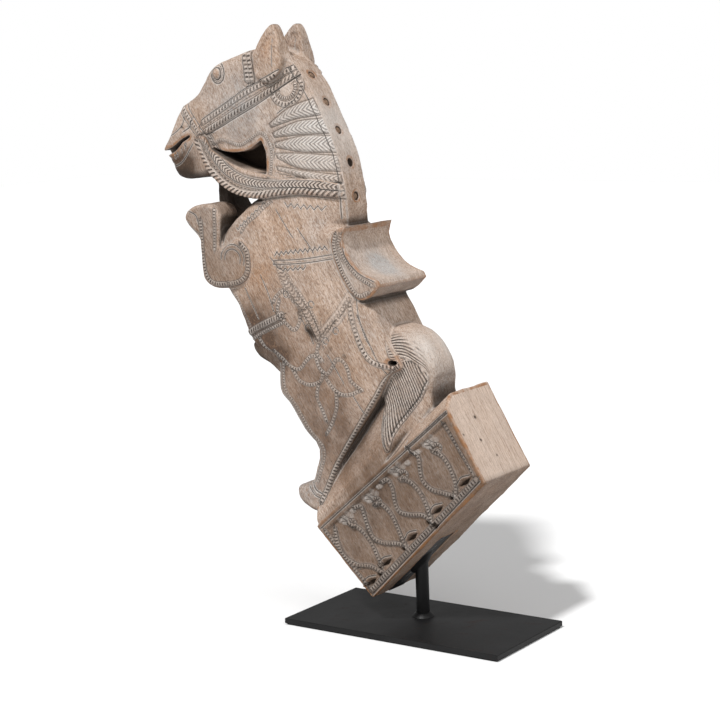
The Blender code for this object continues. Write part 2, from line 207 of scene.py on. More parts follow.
FAR_FORELEG = [(-0.284, 0.506), (-0.286, 0.480), (-0.285, 0.462), (-0.276, 0.444),
               (-0.255, 0.420), (-0.235, 0.400), (-0.226, 0.430), (-0.246, 0.452),
               (-0.264, 0.472), (-0.266, 0.506)]

FAR_HIND_KNEE = [(-0.190, 0.316), (-0.218, 0.312), (-0.240, 0.305), (-0.242, 0.296),
                 (-0.232, 0.285), (-0.215, 0.277), (-0.195, 0.262), (-0.160, 0.240), (-0.150, 0.300)]

THROAT = [(-0.252, 0.533, 1), (-0.228, 0.529), (-0.204, 0.531), (-0.184, 0.542, 1),
          (-0.177, 0.526), (-0.174, 0.505, 1), (-0.204, 0.511), (-0.230, 0.521)]

EYE = (-0.2445, 0.6175)
MOUTH = [(-0.350, 0.524), (-0.322, 0.530), (-0.305, 0.541), (-0.291, 0.547)]


# --- the sculpting grid -------------------------------------------------------------
class Clay:
    """A distance field on a regular grid, worked in slices across Y. Negative is wood."""

    def __init__(self, low, high, step):
        self.step = step
        self.x, self.y, self.z = (np.arange(low[i], high[i] + step, step) for i in range(3))
        self.value = np.full((len(self.y), len(self.x), len(self.z)), 0.05, np.float32)
        self.grid_x, self.grid_z = np.meshgrid(self.x, self.z, indexing="ij")

    def window(self, points, margin=0.012):
        """The part of the side plane round these points: two slices and their x and z."""
        spans = []
        for axis, places in ((0, self.x), (1, self.z)):
            low = np.searchsorted(places, points[:, axis].min() - margin)
            high = np.searchsorted(places, points[:, axis].max() + margin)
            spans.append(slice(max(low - 1, 0), high + 1))
        cut = tuple(spans)
        return cut, self.grid_x[cut], self.grid_z[cut]

    def slab(self, outline, centre, half, rounding, blend=0.003, cut=False, per=5):
        """Adds or cuts an outline drawn out to half each side of y = centre.

        half and rounding are numbers, or functions of (x, z, distance to the outline)."""
        points = smooth(outline, closed=True, per=per)
        window, x, z = self.window(points)
        flat = outline_distance(points, x, z)
        thick = half(x, z, flat) if callable(half) else half
        radius = rounding(x, z, flat) if callable(rounding) else rounding
        for j, y in enumerate(self.y):
            side = np.abs(y - centre) - thick + radius
            edge = flat + radius
            shape = (np.minimum(np.maximum(edge, side), 0.0)
                     + np.hypot(np.maximum(edge, 0.0), np.maximum(side, 0.0)) - radius)
            self.merge(j, window, shape, blend, cut)

    def merge(self, j, window, shape, blend, cut):
        sign = -1.0 if cut else 1.0
        old = sign * self.value[j][window]
        mix = np.maximum(blend - np.abs(shape - old), 0.0) / blend
        self.value[j][window] = sign * (np.minimum(shape, old) - mix * mix * blend / 4)

    def solid(self, low, high, distance, blend=0.003, cut=False):
        """Adds or cuts a shape given by distance(x, y, z), looked at within low to high."""
        corners = np.array([(low[0], low[2]), (high[0], high[2])])
        window, x, z = self.window(corners, 0.0)
        for j, y in enumerate(self.y):
            if low[1] <= y <= high[1]:
                self.merge(j, window, distance(x, y, z), blend, cut)

    def sample(self, points):
        """The field at these points, by linear interpolation."""
        place = np.stack([(points[:, 1] - self.y[0]) / self.step,
                          (points[:, 0] - self.x[0]) / self.step,
                          (points[:, 2] - self.z[0]) / self.step])
        limit = np.array(self.value.shape)[:, None] - 1.001
        place = np.clip(place, 0, limit)
        base = place.astype(int)
        part = place - base
        total = np.zeros(len(points))
        for corner in range(8):
            offset = np.array([corner & 1, corner >> 1 & 1, corner >> 2 & 1])[:, None]
            weight = np.prod(np.where(offset == 1, part, 1 - part), axis=0)
            i, j, k = base + offset
            total += weight * self.value[i, j, k]
        return total

    def surface(self):
        """(points, quads) of the wood's surface, by surface nets."""
        inside = self.value < 0
        counts = [n - 1 for n in self.value.shape]
        corners = [(a, b, c) for a in (0, 1) for b in (0, 1) for c in (0, 1)]

        def shifted(array, corner):
            return array[tuple(slice(o, o + n) for o, n in zip(corner, counts))]

        filled = sum(shifted(inside, c).astype(np.uint8) for c in corners)
        cells = np.argwhere((filled > 0) & (filled < 8))
        number = np.full(counts, -1, np.int32)
        number[tuple(cells.T)] = np.arange(len(cells))
        at_corner = {c: self.value[tuple((cells + c).T)] for c in corners}
        total = np.zeros((len(cells), 3))
        hits = np.zeros(len(cells))
        for start in corners:
            for axis in range(3):
                if start[axis]:
                    continue
                end = tuple(1 if i == axis else s for i, s in enumerate(start))
                a, b = at_corner[start], at_corner[end]
                crosses = (a < 0) != (b < 0)
                t = np.where(crosses, a / np.where(crosses, a - b, 1.0), 0.0)
                point = np.tile(np.array(start, float), (len(cells), 1))
                point[:, axis] += t
                total += np.where(crosses[:, None], point, 0.0)
                hits += crosses
        place = cells + total / hits[:, None]
        points = np.stack([self.x[0] + place[:, 1] * self.step,
                           self.y[0] + place[:, 0] * self.step,
                           self.z[0] + place[:, 2] * self.step], axis=1)
        return points, np.concatenate([self.quads(inside, number, axis) for axis in range(3)])

    @staticmethod
    def quads(inside, number, axis):
        """One quad round each grid edge along this axis that crosses the surface."""
        first = [slice(1, -1)] * 3
        second = [slice(1, -1)] * 3
        first[axis] = slice(0, -1)
        second[axis] = slice(1, None)
        a, b = inside[tuple(first)], inside[tuple(second)]
        edges = np.argwhere(a != b)
        into = a[tuple(edges.T)]
        origin = edges + [0 if i == axis else 1 for i in range(3)]
        u, v = (axis + 1) % 3, (axis + 2) % 3
        ring = []
        for du, dv in ((0, 0), (-1, 0), (-1, -1), (0, -1)):
            cell = origin.copy()
            cell[:, u] += du
            cell[:, v] += dv
            ring.append(number[tuple(cell.T)])
        quads = np.stack(ring, axis=1)
        quads[into] = quads[into][:, ::-1]
        return quads


# --- depth of the masses ------------------------------------------------------------
def crest_distance(x, z):
    return np.abs(path_distance(smooth(CREST), x, z)[0])


def blob(x, z, centre, size):
    return np.exp(-((x - centre[0]) ** 2 + (z - centre[1]) ** 2) / size ** 2)


def neck_half(x, z, _):
    """The neck swells from the crest to the throat, and to the chest at its foot."""
    swell = 1 - np.exp(-crest_distance(x, z) / 0.024)
    foot = ramp(z, 0.545, 0.465)
    return 0.019 + (0.012 + 0.012 * foot) * swell


def head_half(x, z, flat):
    muzzle = ramp(x, -0.255, -0.335)
    chin = blob(x, z, (-0.305, 0.512), 0.024)
    bridge = ramp(x, -0.200, -0.260) * ramp(z, 0.570, 0.600)
    jowl = blob(x, z, (-0.215, 0.570), 0.030)
    lip = blob(x, z, (-0.331, 0.539), 0.013)
    return (neck_half(x, z, flat) - 0.006 * muzzle - 0.007 * chin - 0.004 * bridge
            + 0.0025 * jowl + 0.0025 * lip)


def head_rounding(x, z, _):
    """Sharp along the crest, round over the nose and the chin."""
    return 0.0016 + 0.0095 * ramp(crest_distance(x, z), 0.012, 0.060)


def rein_half(x, z, flat):
    proud = 0.0035 + 0.003 * ramp(x, -0.180, -0.260)
    return neck_half(x, z, flat) + proud * ramp(crest_distance(x, z), 0.001, 0.007)


def trunk_half(x, z, flat):
    dome = 1 - np.exp(np.minimum(flat, 0) / 0.030)
    side = 0.0425 + 0.0035 * dome - 0.004 * ramp(z, 0.440, 0.485)
    withers = 0.019 + (side - 0.019) * (1 - np.exp(-crest_distance(x, z) / 0.020))
    above_saddle = ramp(z, 0.436, 0.452)
    return side + (withers - side) * above_saddle


def web_half(x, z, _):
    """The web behind the leg slopes out to the plinth's face at its foot, and is
    undercut beneath the rump."""
    height = (z - PLINTH_FOOT[1] - (x - PLINTH_FOOT[0])) * math.cos(TILT)
    return 0.0295 + 0.0185 * ramp(height, 0.150, 0.104) * ramp(x, 0.004, -0.022)


def web_rounding(x, z, _):
    return 0.002 + 0.008 * ramp(x, -0.015, 0.010)


def tail_half(x, z, flat):
    dome = 1 - np.exp(np.minimum(flat, 0) / 0.012)
    return 0.031 + 0.004 * dome


def tail_rounding(x, z, _):
    """The tail's back is broadly rounded and the hank's edge is crisp."""
    outer = ramp(x, 0.000, 0.028) + ramp(z, 0.300, 0.335)
    return 0.003 + 0.019 * np.clip(outer, 0, 1) * ramp(z, 0.272, 0.292)


def ear_half(x, z, _):
    """Each ear thins from its root to its tip."""
    return 0.0130 - 0.0065 * ramp(z, 0.622, 0.672)


def plinth_distance(x, y, z):
    """The block, with its top edge broken back on the near side and softly worn edges."""
    foot_x, foot_z = PLINTH_FOOT
    along = ((x - foot_x) + (z - foot_z)) * math.cos(TILT)
    up = ((z - foot_z) - (x - foot_x)) * math.cos(TILT)
    near = MID_Y - PLINTH_HALF
    ledge = (0.004 + 0.045 * along) * ramp(y, near, near + 0.024)
    top = (up - 0.1040 + 0.0858 * along) * 0.996 - ledge
    right = (along - 0.2105 - 0.262 * up) * 0.967
    left = -along
    side = np.abs(y - MID_Y) - (PLINTH_HALF - 0.001)
    edge = 0.0015
    total = np.zeros(np.shape(x))
    worst = np.full(np.shape(x), -1e9)
    bottom = -up - 0.0165 * along
    for face in (top, right, left, bottom, side):
        total = total + np.maximum(face + edge, 0.0) ** 2
        worst = np.maximum(worst, face + edge)
    return np.minimum(worst, 0.0) + np.sqrt(total) - edge


def ellipsoid(centre, radii):
    def distance(x, y, z):
        k = np.sqrt(((x - centre[0]) / radii[0]) ** 2 + ((y - centre[1]) / radii[1]) ** 2
                    + ((z - centre[2]) / radii[2]) ** 2)
        return (k - 1) * min(radii)
    return distance


def bar(place, radius, length):
    """Distance to a round bar along -Z of the frame place."""
    inverse = np.array(place.inverted())

    def distance(x, y, z):
        local = [inverse[i][0] * x + inverse[i][1] * y + inverse[i][2] * z + inverse[i][3]
                 for i in range(3)]
        return np.maximum(np.hypot(local[0], local[1]) - radius,
                          np.abs(local[2] + length / 2 - 0.005) - length / 2 - 0.005)
    return distance


def sculpt_masses(clay):
    body = 0.046
    clay.slab(CORE, MID_Y, 0.026, 0.004)
    clay.slab(WEB, MID_Y, web_half, web_rounding, blend=0.004)
    clay.slab(TAIL_ROOT, MID_Y, 0.022, 0.004, blend=0.006)
    clay.slab(TAIL, MID_Y, tail_half, tail_rounding, blend=0.002)
    clay.slab(FAR_HIND_KNEE, MID_Y + 0.026, 0.017, 0.008)
    clay.slab(TRUNK, MID_Y, trunk_half, 0.008, blend=0.002)
    clay.slab(HEAD, MID_Y, head_half, head_rounding, blend=0.003)
    clay.slab(REIN, MID_Y, rein_half, 0.0025, blend=0.002)
    for side in (-1, 1):
        clay.slab(EAR, MID_Y + side * 0.0215, ear_half, 0.0038, blend=0.005)
    clay.slab(SADDLE, MID_Y, body + 0.001, 0.0014, blend=0.002)
    clay.slab(NEAR_FORELEG, MID_Y - 0.029, 0.019, 0.005, blend=0.002)
    clay.slab(FAR_FORELEG, MID_Y + 0.029, 0.018, 0.007)
    low, high = carving_low - Vector((0.01,) * 3), carving_high + Vector((0.01,) * 3)
    clay.solid(low, high, plinth_distance, blend=0.002)


def sculpt_details(clay):
    """Eyes, throat pockets, mouth, the tail's hole, peg holes and the strap's recess."""
    for side in (-1, 1):
        centre = (EYE[0], MID_Y + side * 0.021, EYE[1])
        clay.solid((EYE[0] - 0.02, -0.05, EYE[1] - 0.02), (EYE[0] + 0.02, 0.08, EYE[1] + 0.02),
                   ellipsoid(centre, (0.0120, 0.0095, 0.0098)), blend=0.0012)
        pocket = 0.030
        clay.slab(THROAT, MID_Y + side * (0.005 + pocket), pocket, 0.001, blend=0.0015, cut=True)
    mouth = smooth(MOUTH)
    window_low, window_high = (-0.352, -0.05, 0.515), (-0.280, 0.08, 0.560)
    clay.solid(window_low, window_high, mouth_distance(mouth), blend=0.0015, cut=True)
    hole = (-0.008, 0.302)
    clay.solid((-0.02, -0.05, 0.29), (0.005, 0.08, 0.315),
               lambda x, y, z: np.hypot((x - hole[0]) / 1.7, z - hole[1]) - 0.0028,
               blend=0.001, cut=True)
    cut_recess(clay)
    cut_peg_holes(clay)


def mouth_distance(path):
    """A slit that opens towards the lips, cut in from both sides and left whole between."""
    def distance(x, y, z):
        across, along, _ = path_distance(path, x, z)
        gape = 0.0010 + 0.0020 * ramp(x, -0.295, -0.330)
        return np.maximum(np.abs(across) - gape, 0.010 - abs(y - MID_Y))
    return distance


def cut_recess(clay):
    """The shallow bed that the steel strap is let into."""
    half_length, half_width, depth = 0.0504, 0.0154, 0.0048
    foot_x, foot_z = PLINTH_FOOT
    rod_along = (ROD_X - foot_x) / math.cos(TILT)

    def distance(x, y, z):
        along = ((x - foot_x) + (z - foot_z)) * math.cos(TILT)
        up = ((z - foot_z) - (x - foot_x)) * math.cos(TILT)
        return np.maximum.reduce([np.abs(along - rod_along) - half_length,
                                  np.full(np.shape(x), abs(y - MID_Y) - half_width),
                                  up - depth])
    clay.solid((-0.08, -0.03, 0.0), (0.07, 0.05, 0.14), distance, blend=0.0008, cut=True)


def crest_frame(height):
    """A frame on the crest at this height, with Z pointing out of the wood."""
    for (x0, z0), (x1, z1) in zip(CREST, CREST[1:]):
        if z1 <= height <= z0:
            x = x0 + (x1 - x0) * (z0 - height) / (z0 - z1)
            outward = Vector((z0 - z1, 0.0, x1 - x0)).normalized()
            turn = outward.to_track_quat("Z", "Y").to_matrix().to_4x4()
            return Matrix.Translation((x, MID_Y, height)) @ turn
    raise ValueError("height is off the crest")


PEG_HOLE_HEIGHTS = (0.613, 0.583, 0.552, 0.516, 0.479)


def cut_peg_holes(clay):
    radius, length = 0.0046, 0.024
    for height in PEG_HOLE_HEIGHTS:
        place = crest_frame(height)
        middle = place.translation
        reach = 0.035
        clay.solid(middle - Vector((reach,) * 3), middle + Vector((reach,) * 3),
                   bar(place, radius, length), blend=0.001, cut=True)


# --- relief -------------------------------------------------------------------------
class Relief:
    """What is cut into the two sides, worked out at points (x, z) of the side plane.

    cut is the distance to the nearest incised line, in that line's widths. row is the
    distance across the nearest row of beads, in its half-widths, and phase its place
    along the row in radians, one bead for every pi."""

    FAR = 20.0

    def __init__(self, x, z):
        self.x, self.z = x, z
        plain = ("height", "stain", "wash", "warm", "grey", "umber", "cut_depth", "phase",
                 "bead_height")
        self.layers = {name: np.zeros(len(x)) for name in plain}
        self.layers["cut"] = np.full(len(x), self.FAR)
        self.layers["row"] = np.full(len(x), self.FAR)

    def window(self, points, margin):
        """(indices, x, z) of the points near these ones."""
        low = points.min(axis=0) - margin
        high = points.max(axis=0) + margin
        near = np.flatnonzero((self.x > low[0]) & (self.x < high[0])
                              & (self.z > low[1]) & (self.z < high[1]))
        return near, self.x[near], self.z[near]

    def stroke(self, path, margin, curved=True):
        points = smooth(path) if curved else np.array(path, float)
        near, x, z = self.window(points, margin)
        across, along, _ = path_distance(points, x, z)
        return near, across, along

    def claim_row(self, near, row, phase, height):
        """Gives points to this row of beads where no other row is closer."""
        won = np.abs(row) < np.abs(self.layers["row"][near])
        for name, value in (("row", row), ("phase", phase), ("bead_height", height)):
            self.layers[name][near] = np.where(won, value, self.layers[name][near])

    def raise_by(self, near, height):
        self.layers["height"][near] += height

    def groove(self, path, width=0.0006, depth=0.0008, curved=True):
        near, across, _ = self.stroke(path, width * 8, curved)
        cut = across / width
        won = np.abs(cut) < np.abs(self.layers["cut"][near])
        self.layers["cut"][near] = np.where(won, cut, self.layers["cut"][near])
        self.layers["cut_depth"][near] = np.where(won, depth, self.layers["cut_depth"][near])
        self.raise_by(near, -0.5 * depth * np.exp(-cut ** 2))

    def ridge(self, path, width, height, curved=True):
        near, across, _ = self.stroke(path, width * 2, curved)
        self.raise_by(near, height * ramp(np.abs(across), width, width * 0.6))

    def beads(self, path, width=0.0016, pitch=0.0034, height=0.0010, slant=0.0, wash=0.0):
        """A row of beads; slant turns them into twisted rope."""
        near, across, along = self.stroke(path, width * 5)
        row = across / width
        self.layers["wash"][near] += wash * ramp(np.abs(row), 2.5, 1.7)
        self.claim_row(near, row, math.pi * (along + slant * across) / pitch, height)
        self.raise_by(near, 0.6 * height * ramp(np.abs(row), 1.5, 0.7))

    def chevrons(self, path, width, pitch, height, slant=1.0):
        """A braid or leaf band: strokes that slope away from its middle line."""
        near, across, along = self.stroke(path, width * 3)
        row = across / width
        self.claim_row(near, row, math.pi * (along + slant * np.abs(across)) / pitch, height)
        self.raise_by(near, 0.5 * height * ramp(np.abs(row), 1.2, 0.7))

    def lock(self, top, bottom, pitch=0.0050, height=0.0010):
        """A lock of mane between two curves, combed as a herringbone."""
        upper, lower = smooth(top), smooth(bottom)
        outline = np.concatenate([upper, lower[::-1]])
        near, x, z = self.window(outline, 0.004)
        flat = outline_distance(outline, x, z)
        across, along, _ = path_distance((upper + lower) / 2, x, z)
        row = np.clip(1 + flat / 0.0016, 0.84, self.FAR)
        self.claim_row(near, row, math.pi * (along - 1.3 * np.abs(across)) / pitch, height)
        trench = np.exp(-((flat - 0.0006) / 0.0010) ** 2)
        self.raise_by(near, height * ramp(flat, 0.0003, -0.0020) - 0.0013 * trench)
        self.layers["wash"][near] += 0.45 * ramp(flat, 0.0010, -0.0010)
        # Painted shade: the trench round each lock is darkened in colour.
        self.layers["stain"][near] += 0.22 * trench

    def combed(self, outline, phase, height):
        """Strands inside an outline; phase(x, z) turns by pi from one strand to the next."""
        points = smooth(outline, closed=True)
        near, x, z = self.window(points, 0.004)
        flat = outline_distance(points, x, z)
        row = np.clip(1 + flat / 0.0020, 0.3, self.FAR)
        turn = phase(x, z)
        self.claim_row(near, row, turn, height)
        self.raise_by(near, height * (np.abs(np.sin(turn)) - 1.0) * ramp(flat, 0.0, -0.0015))

    def fill(self, outline, height, softness=0.0010, curved=True, **tones):
        """Raises or lowers what lies inside an outline, and tones it."""
        points = smooth(outline, closed=True) if curved else np.array(outline, float)
        near, x, z = self.window(points, 0.004)
        share = ramp(outline_distance(points, x, z), softness, -softness)
        self.raise_by(near, height * share)
        for name, amount in tones.items():
            self.layers[name][near] += amount * share

    def spot(self, centre, size, height=0.0, **tones):
        """A soft oval patch, long along the fibres: a height and any of the tone layers."""
        near, x, z = self.window(np.array([centre]), max(size) * 2.5)
        lean = math.sin(FIBRE_LEAN), math.cos(FIBRE_LEAN)
        along = (x - centre[0]) * lean[0] + (z - centre[1]) * lean[1]
        across = (x - centre[0]) * lean[1] - (z - centre[1]) * lean[0]
        weight = np.exp(-(along / size[0]) ** 2 - (across / size[1]) ** 2)
        self.raise_by(near, height * weight)
        for name, amount in tones.items():
            self.layers[name][near] += amount * weight


def between(first, second, share):
    return [((1 - share) * a[0] + share * b[0], (1 - share) * a[1] + share * b[1])
            for a, b in zip(first, second)]


def shifted(path, dx, dz):
    return [(x + dx, z + dz) for x, z in path]


def carve_head(relief):
    strap_top = [(-0.268, 0.566), (-0.232, 0.585), (-0.199, 0.602), (-0.172, 0.612), (-0.136, 0.627)]
    strap_low = [(-0.260, 0.549), (-0.225, 0.564), (-0.191, 0.580), (-0.166, 0.594), (-0.132, 0.614)]
    relief.ridge(between(strap_top, strap_low, 0.5), 0.0085, 0.0014)
    relief.beads(between(strap_top, strap_low, 0.22), 0.0022, 0.0050, 0.0016)
    relief.beads(between(strap_top, strap_low, 0.78), 0.0022, 0.0050, 0.0016, slant=0.9)
    relief.groove(strap_top, depth=0.0009)
    relief.groove(strap_low, depth=0.0012, width=0.0009)

    browband = [(-0.203, 0.640), (-0.2005, 0.625), (-0.1985, 0.609)]
    for across in (0.0, 0.0062):
        relief.ridge(shifted(browband, across, 0.0), 0.0036, 0.0012)
        relief.beads(shifted(browband, across, 0.0), 0.0022, 0.0046, 0.0015)
    relief.groove(shifted(browband, -0.0045, 0.0), 0.0006, 0.0008)

    noseband = [(-0.302, 0.586), (-0.287, 0.567), (-0.268, 0.546)]
    relief.ridge(noseband, 0.0060, 0.0014)
    relief.beads(noseband, 0.0018, 0.0040, 0.0010)
    relief.groove(shifted(noseband, -0.0065, -0.004), depth=0.0010)
    relief.groove(shifted(noseband, 0.0055, 0.003), depth=0.0008)

    for x, z in ((-0.271, 0.548), (-0.266, 0.541), (-0.275, 0.541)):
        relief.spot((x, z), (0.0030, 0.0030), height=0.0014, stain=0.15)

    centre, radius = (-0.149, 0.600), 0.0185
    for share, width in ((1.0, 0.0021), (0.62, 0.0012)):
        arc = [(centre[0] + share * radius * math.cos(a), centre[1] + share * radius * math.sin(a))
               for a in np.radians(np.arange(-155, 45, 20))]
        relief.beads(arc, width, 0.0042 * share, 0.0011)
    relief.spot(centre, (0.010, 0.012), wash=0.35, height=0.0006)

    jaw = [(-0.257, 0.537), (-0.241, 0.543), (-0.227, 0.5405), (-0.213, 0.5375), (-0.199, 0.543),
           (-0.185, 0.551), (-0.175, 0.545), (-0.168, 0.528), (-0.167, 0.503)]
    relief.ridge(jaw, 0.0034, 0.0008)
    relief.beads(jaw, 0.0012, 0.0027, 0.0008)

    # eye ring, nostril and the lines of the lips
    for share in (0.60, 1.0):
        ring = [(EYE[0] + share * 0.0102 * math.cos(a), EYE[1] + share * 0.0112 * math.sin(a))
                for a in np.radians(np.arange(0, 380, 20))]
        relief.groove(ring, 0.0009, 0.0012)
    relief.spot(EYE, (0.0075, 0.0050), warm=2.4, height=0.0014)
    relief.spot((-0.303, 0.557), (0.0018, 0.0018), stain=0.8, height=-0.0022)
    relief.groove([(-0.337, 0.546), (-0.318, 0.549), (-0.301, 0.560), (-0.296, 0.572)], 0.0007, 0.0009)
    relief.groove([(-0.300, 0.552), (-0.288, 0.558), (-0.283, 0.566)], 0.0009, 0.0010)
    lip = [(-0.334, 0.519), (-0.320, 0.519), (-0.303, 0.530), (-0.291, 0.540)]
    relief.ridge(lip, 0.0028, 0.0009)
    for share in np.linspace(0.08, 0.85, 8):
        start = smooth(lip)[int(share * 15)]
        relief.groove([(start[0] - 0.0008, start[1] + 0.0055), (start[0] + 0.0006, start[1] + 0.0005)],
                      0.0006, 0.0013, curved=False)
    relief.groove([(-0.331, 0.511), (-0.312, 0.514), (-0.296, 0.528), (-0.286, 0.538)], 0.0008, 0.0012)

    # ears: an inner hollow and a centre line
    relief.ridge([(-0.181, 0.622), (-0.174, 0.640), (-0.165, 0.655)], 0.0065, -0.0018)
    relief.spot((-0.170, 0.640), (0.018, 0.009), warm=0.6, stain=0.10)
    relief.groove([(-0.161, 0.624), (-0.162, 0.640), (-0.164, 0.654)], 0.0005, 0.0005)


def carve_reins(relief):
    rope = [(-0.272, 0.543), (-0.265, 0.527), (-0.253, 0.512), (-0.239, 0.5005), (-0.224, 0.491),
            (-0.206, 0.484), (-0.183, 0.4815), (-0.160, 0.4845), (-0.127, 0.4875), (-0.094, 0.485),
            (-0.066, 0.480)]
    relief.beads(rope, 0.0034, 0.0058, 0.0021, slant=0.85)
    relief.spot((-0.235, 0.500), (0.016, 0.026), warm=0.9)
    leaf = [(-0.260, 0.545), (-0.250, 0.532), (-0.236, 0.517), (-0.221, 0.506), (-0.200, 0.4975),
            (-0.169, 0.4935), (-0.137, 0.4945), (-0.107, 0.4935), (-0.070, 0.489)]
    relief.chevrons(leaf, 0.0040, 0.0046, 0.0016, slant=-1.1)
    relief.groove(between(leaf, shifted(leaf, -0.0028, -0.0036), 1.0), 0.0007, 0.0008)
    relief.groove(shifted(leaf, 0.0022, 0.0042), 0.0007, 0.0009)


def carve_mane(relief):
    locks = [
        ([(-0.171, 0.560), (-0.145, 0.577), (-0.117, 0.587)],
         [(-0.169, 0.557), (-0.137, 0.566), (-0.108, 0.570)]),
        ([(-0.167, 0.550), (-0.134, 0.562), (-0.105, 0.565)],
         [(-0.165, 0.546), (-0.128, 0.549), (-0.097, 0.550)]),
        ([(-0.164, 0.539), (-0.127, 0.546), (-0.095, 0.546)],
         [(-0.163, 0.535), (-0.128, 0.530), (-0.088, 0.529)]),
        ([(-0.162, 0.527), (-0.128, 0.527), (-0.087, 0.524)],
         [(-0.160, 0.523), (-0.129, 0.512), (-0.083, 0.508)]),
        ([(-0.160, 0.513), (-0.129, 0.509), (-0.083, 0.503)],
         [(-0.158, 0.510), (-0.118, 0.501), (-0.082, 0.495)]),
    ]
    for top, bottom in locks:
        relief.lock(top, bottom)
    border = [(-0.148, 0.622), (-0.135, 0.606), (-0.124, 0.590), (-0.107, 0.557), (-0.092, 0.527),
              (-0.084, 0.496), (-0.081, 0.456)]
    relief.groove(border, 0.0006, 0.0009)
    relief.groove([(-0.160, 0.572), (-0.140, 0.585), (-0.132, 0.596)], 0.0007, 0.0008)
    relief.spot((-0.120, 0.540), (0.045, 0.030), wash=0.16)


def zigzag(start, end, teeth, height):
    points = []
    for i in range(2 * teeth + 1):
        share = i / (2 * teeth)
        x = start[0] + (end[0] - start[0]) * share
        z = start[1] + (end[1] - start[1]) * share + (height if i % 2 else 0.0)
        points.append((x, z))
    return points


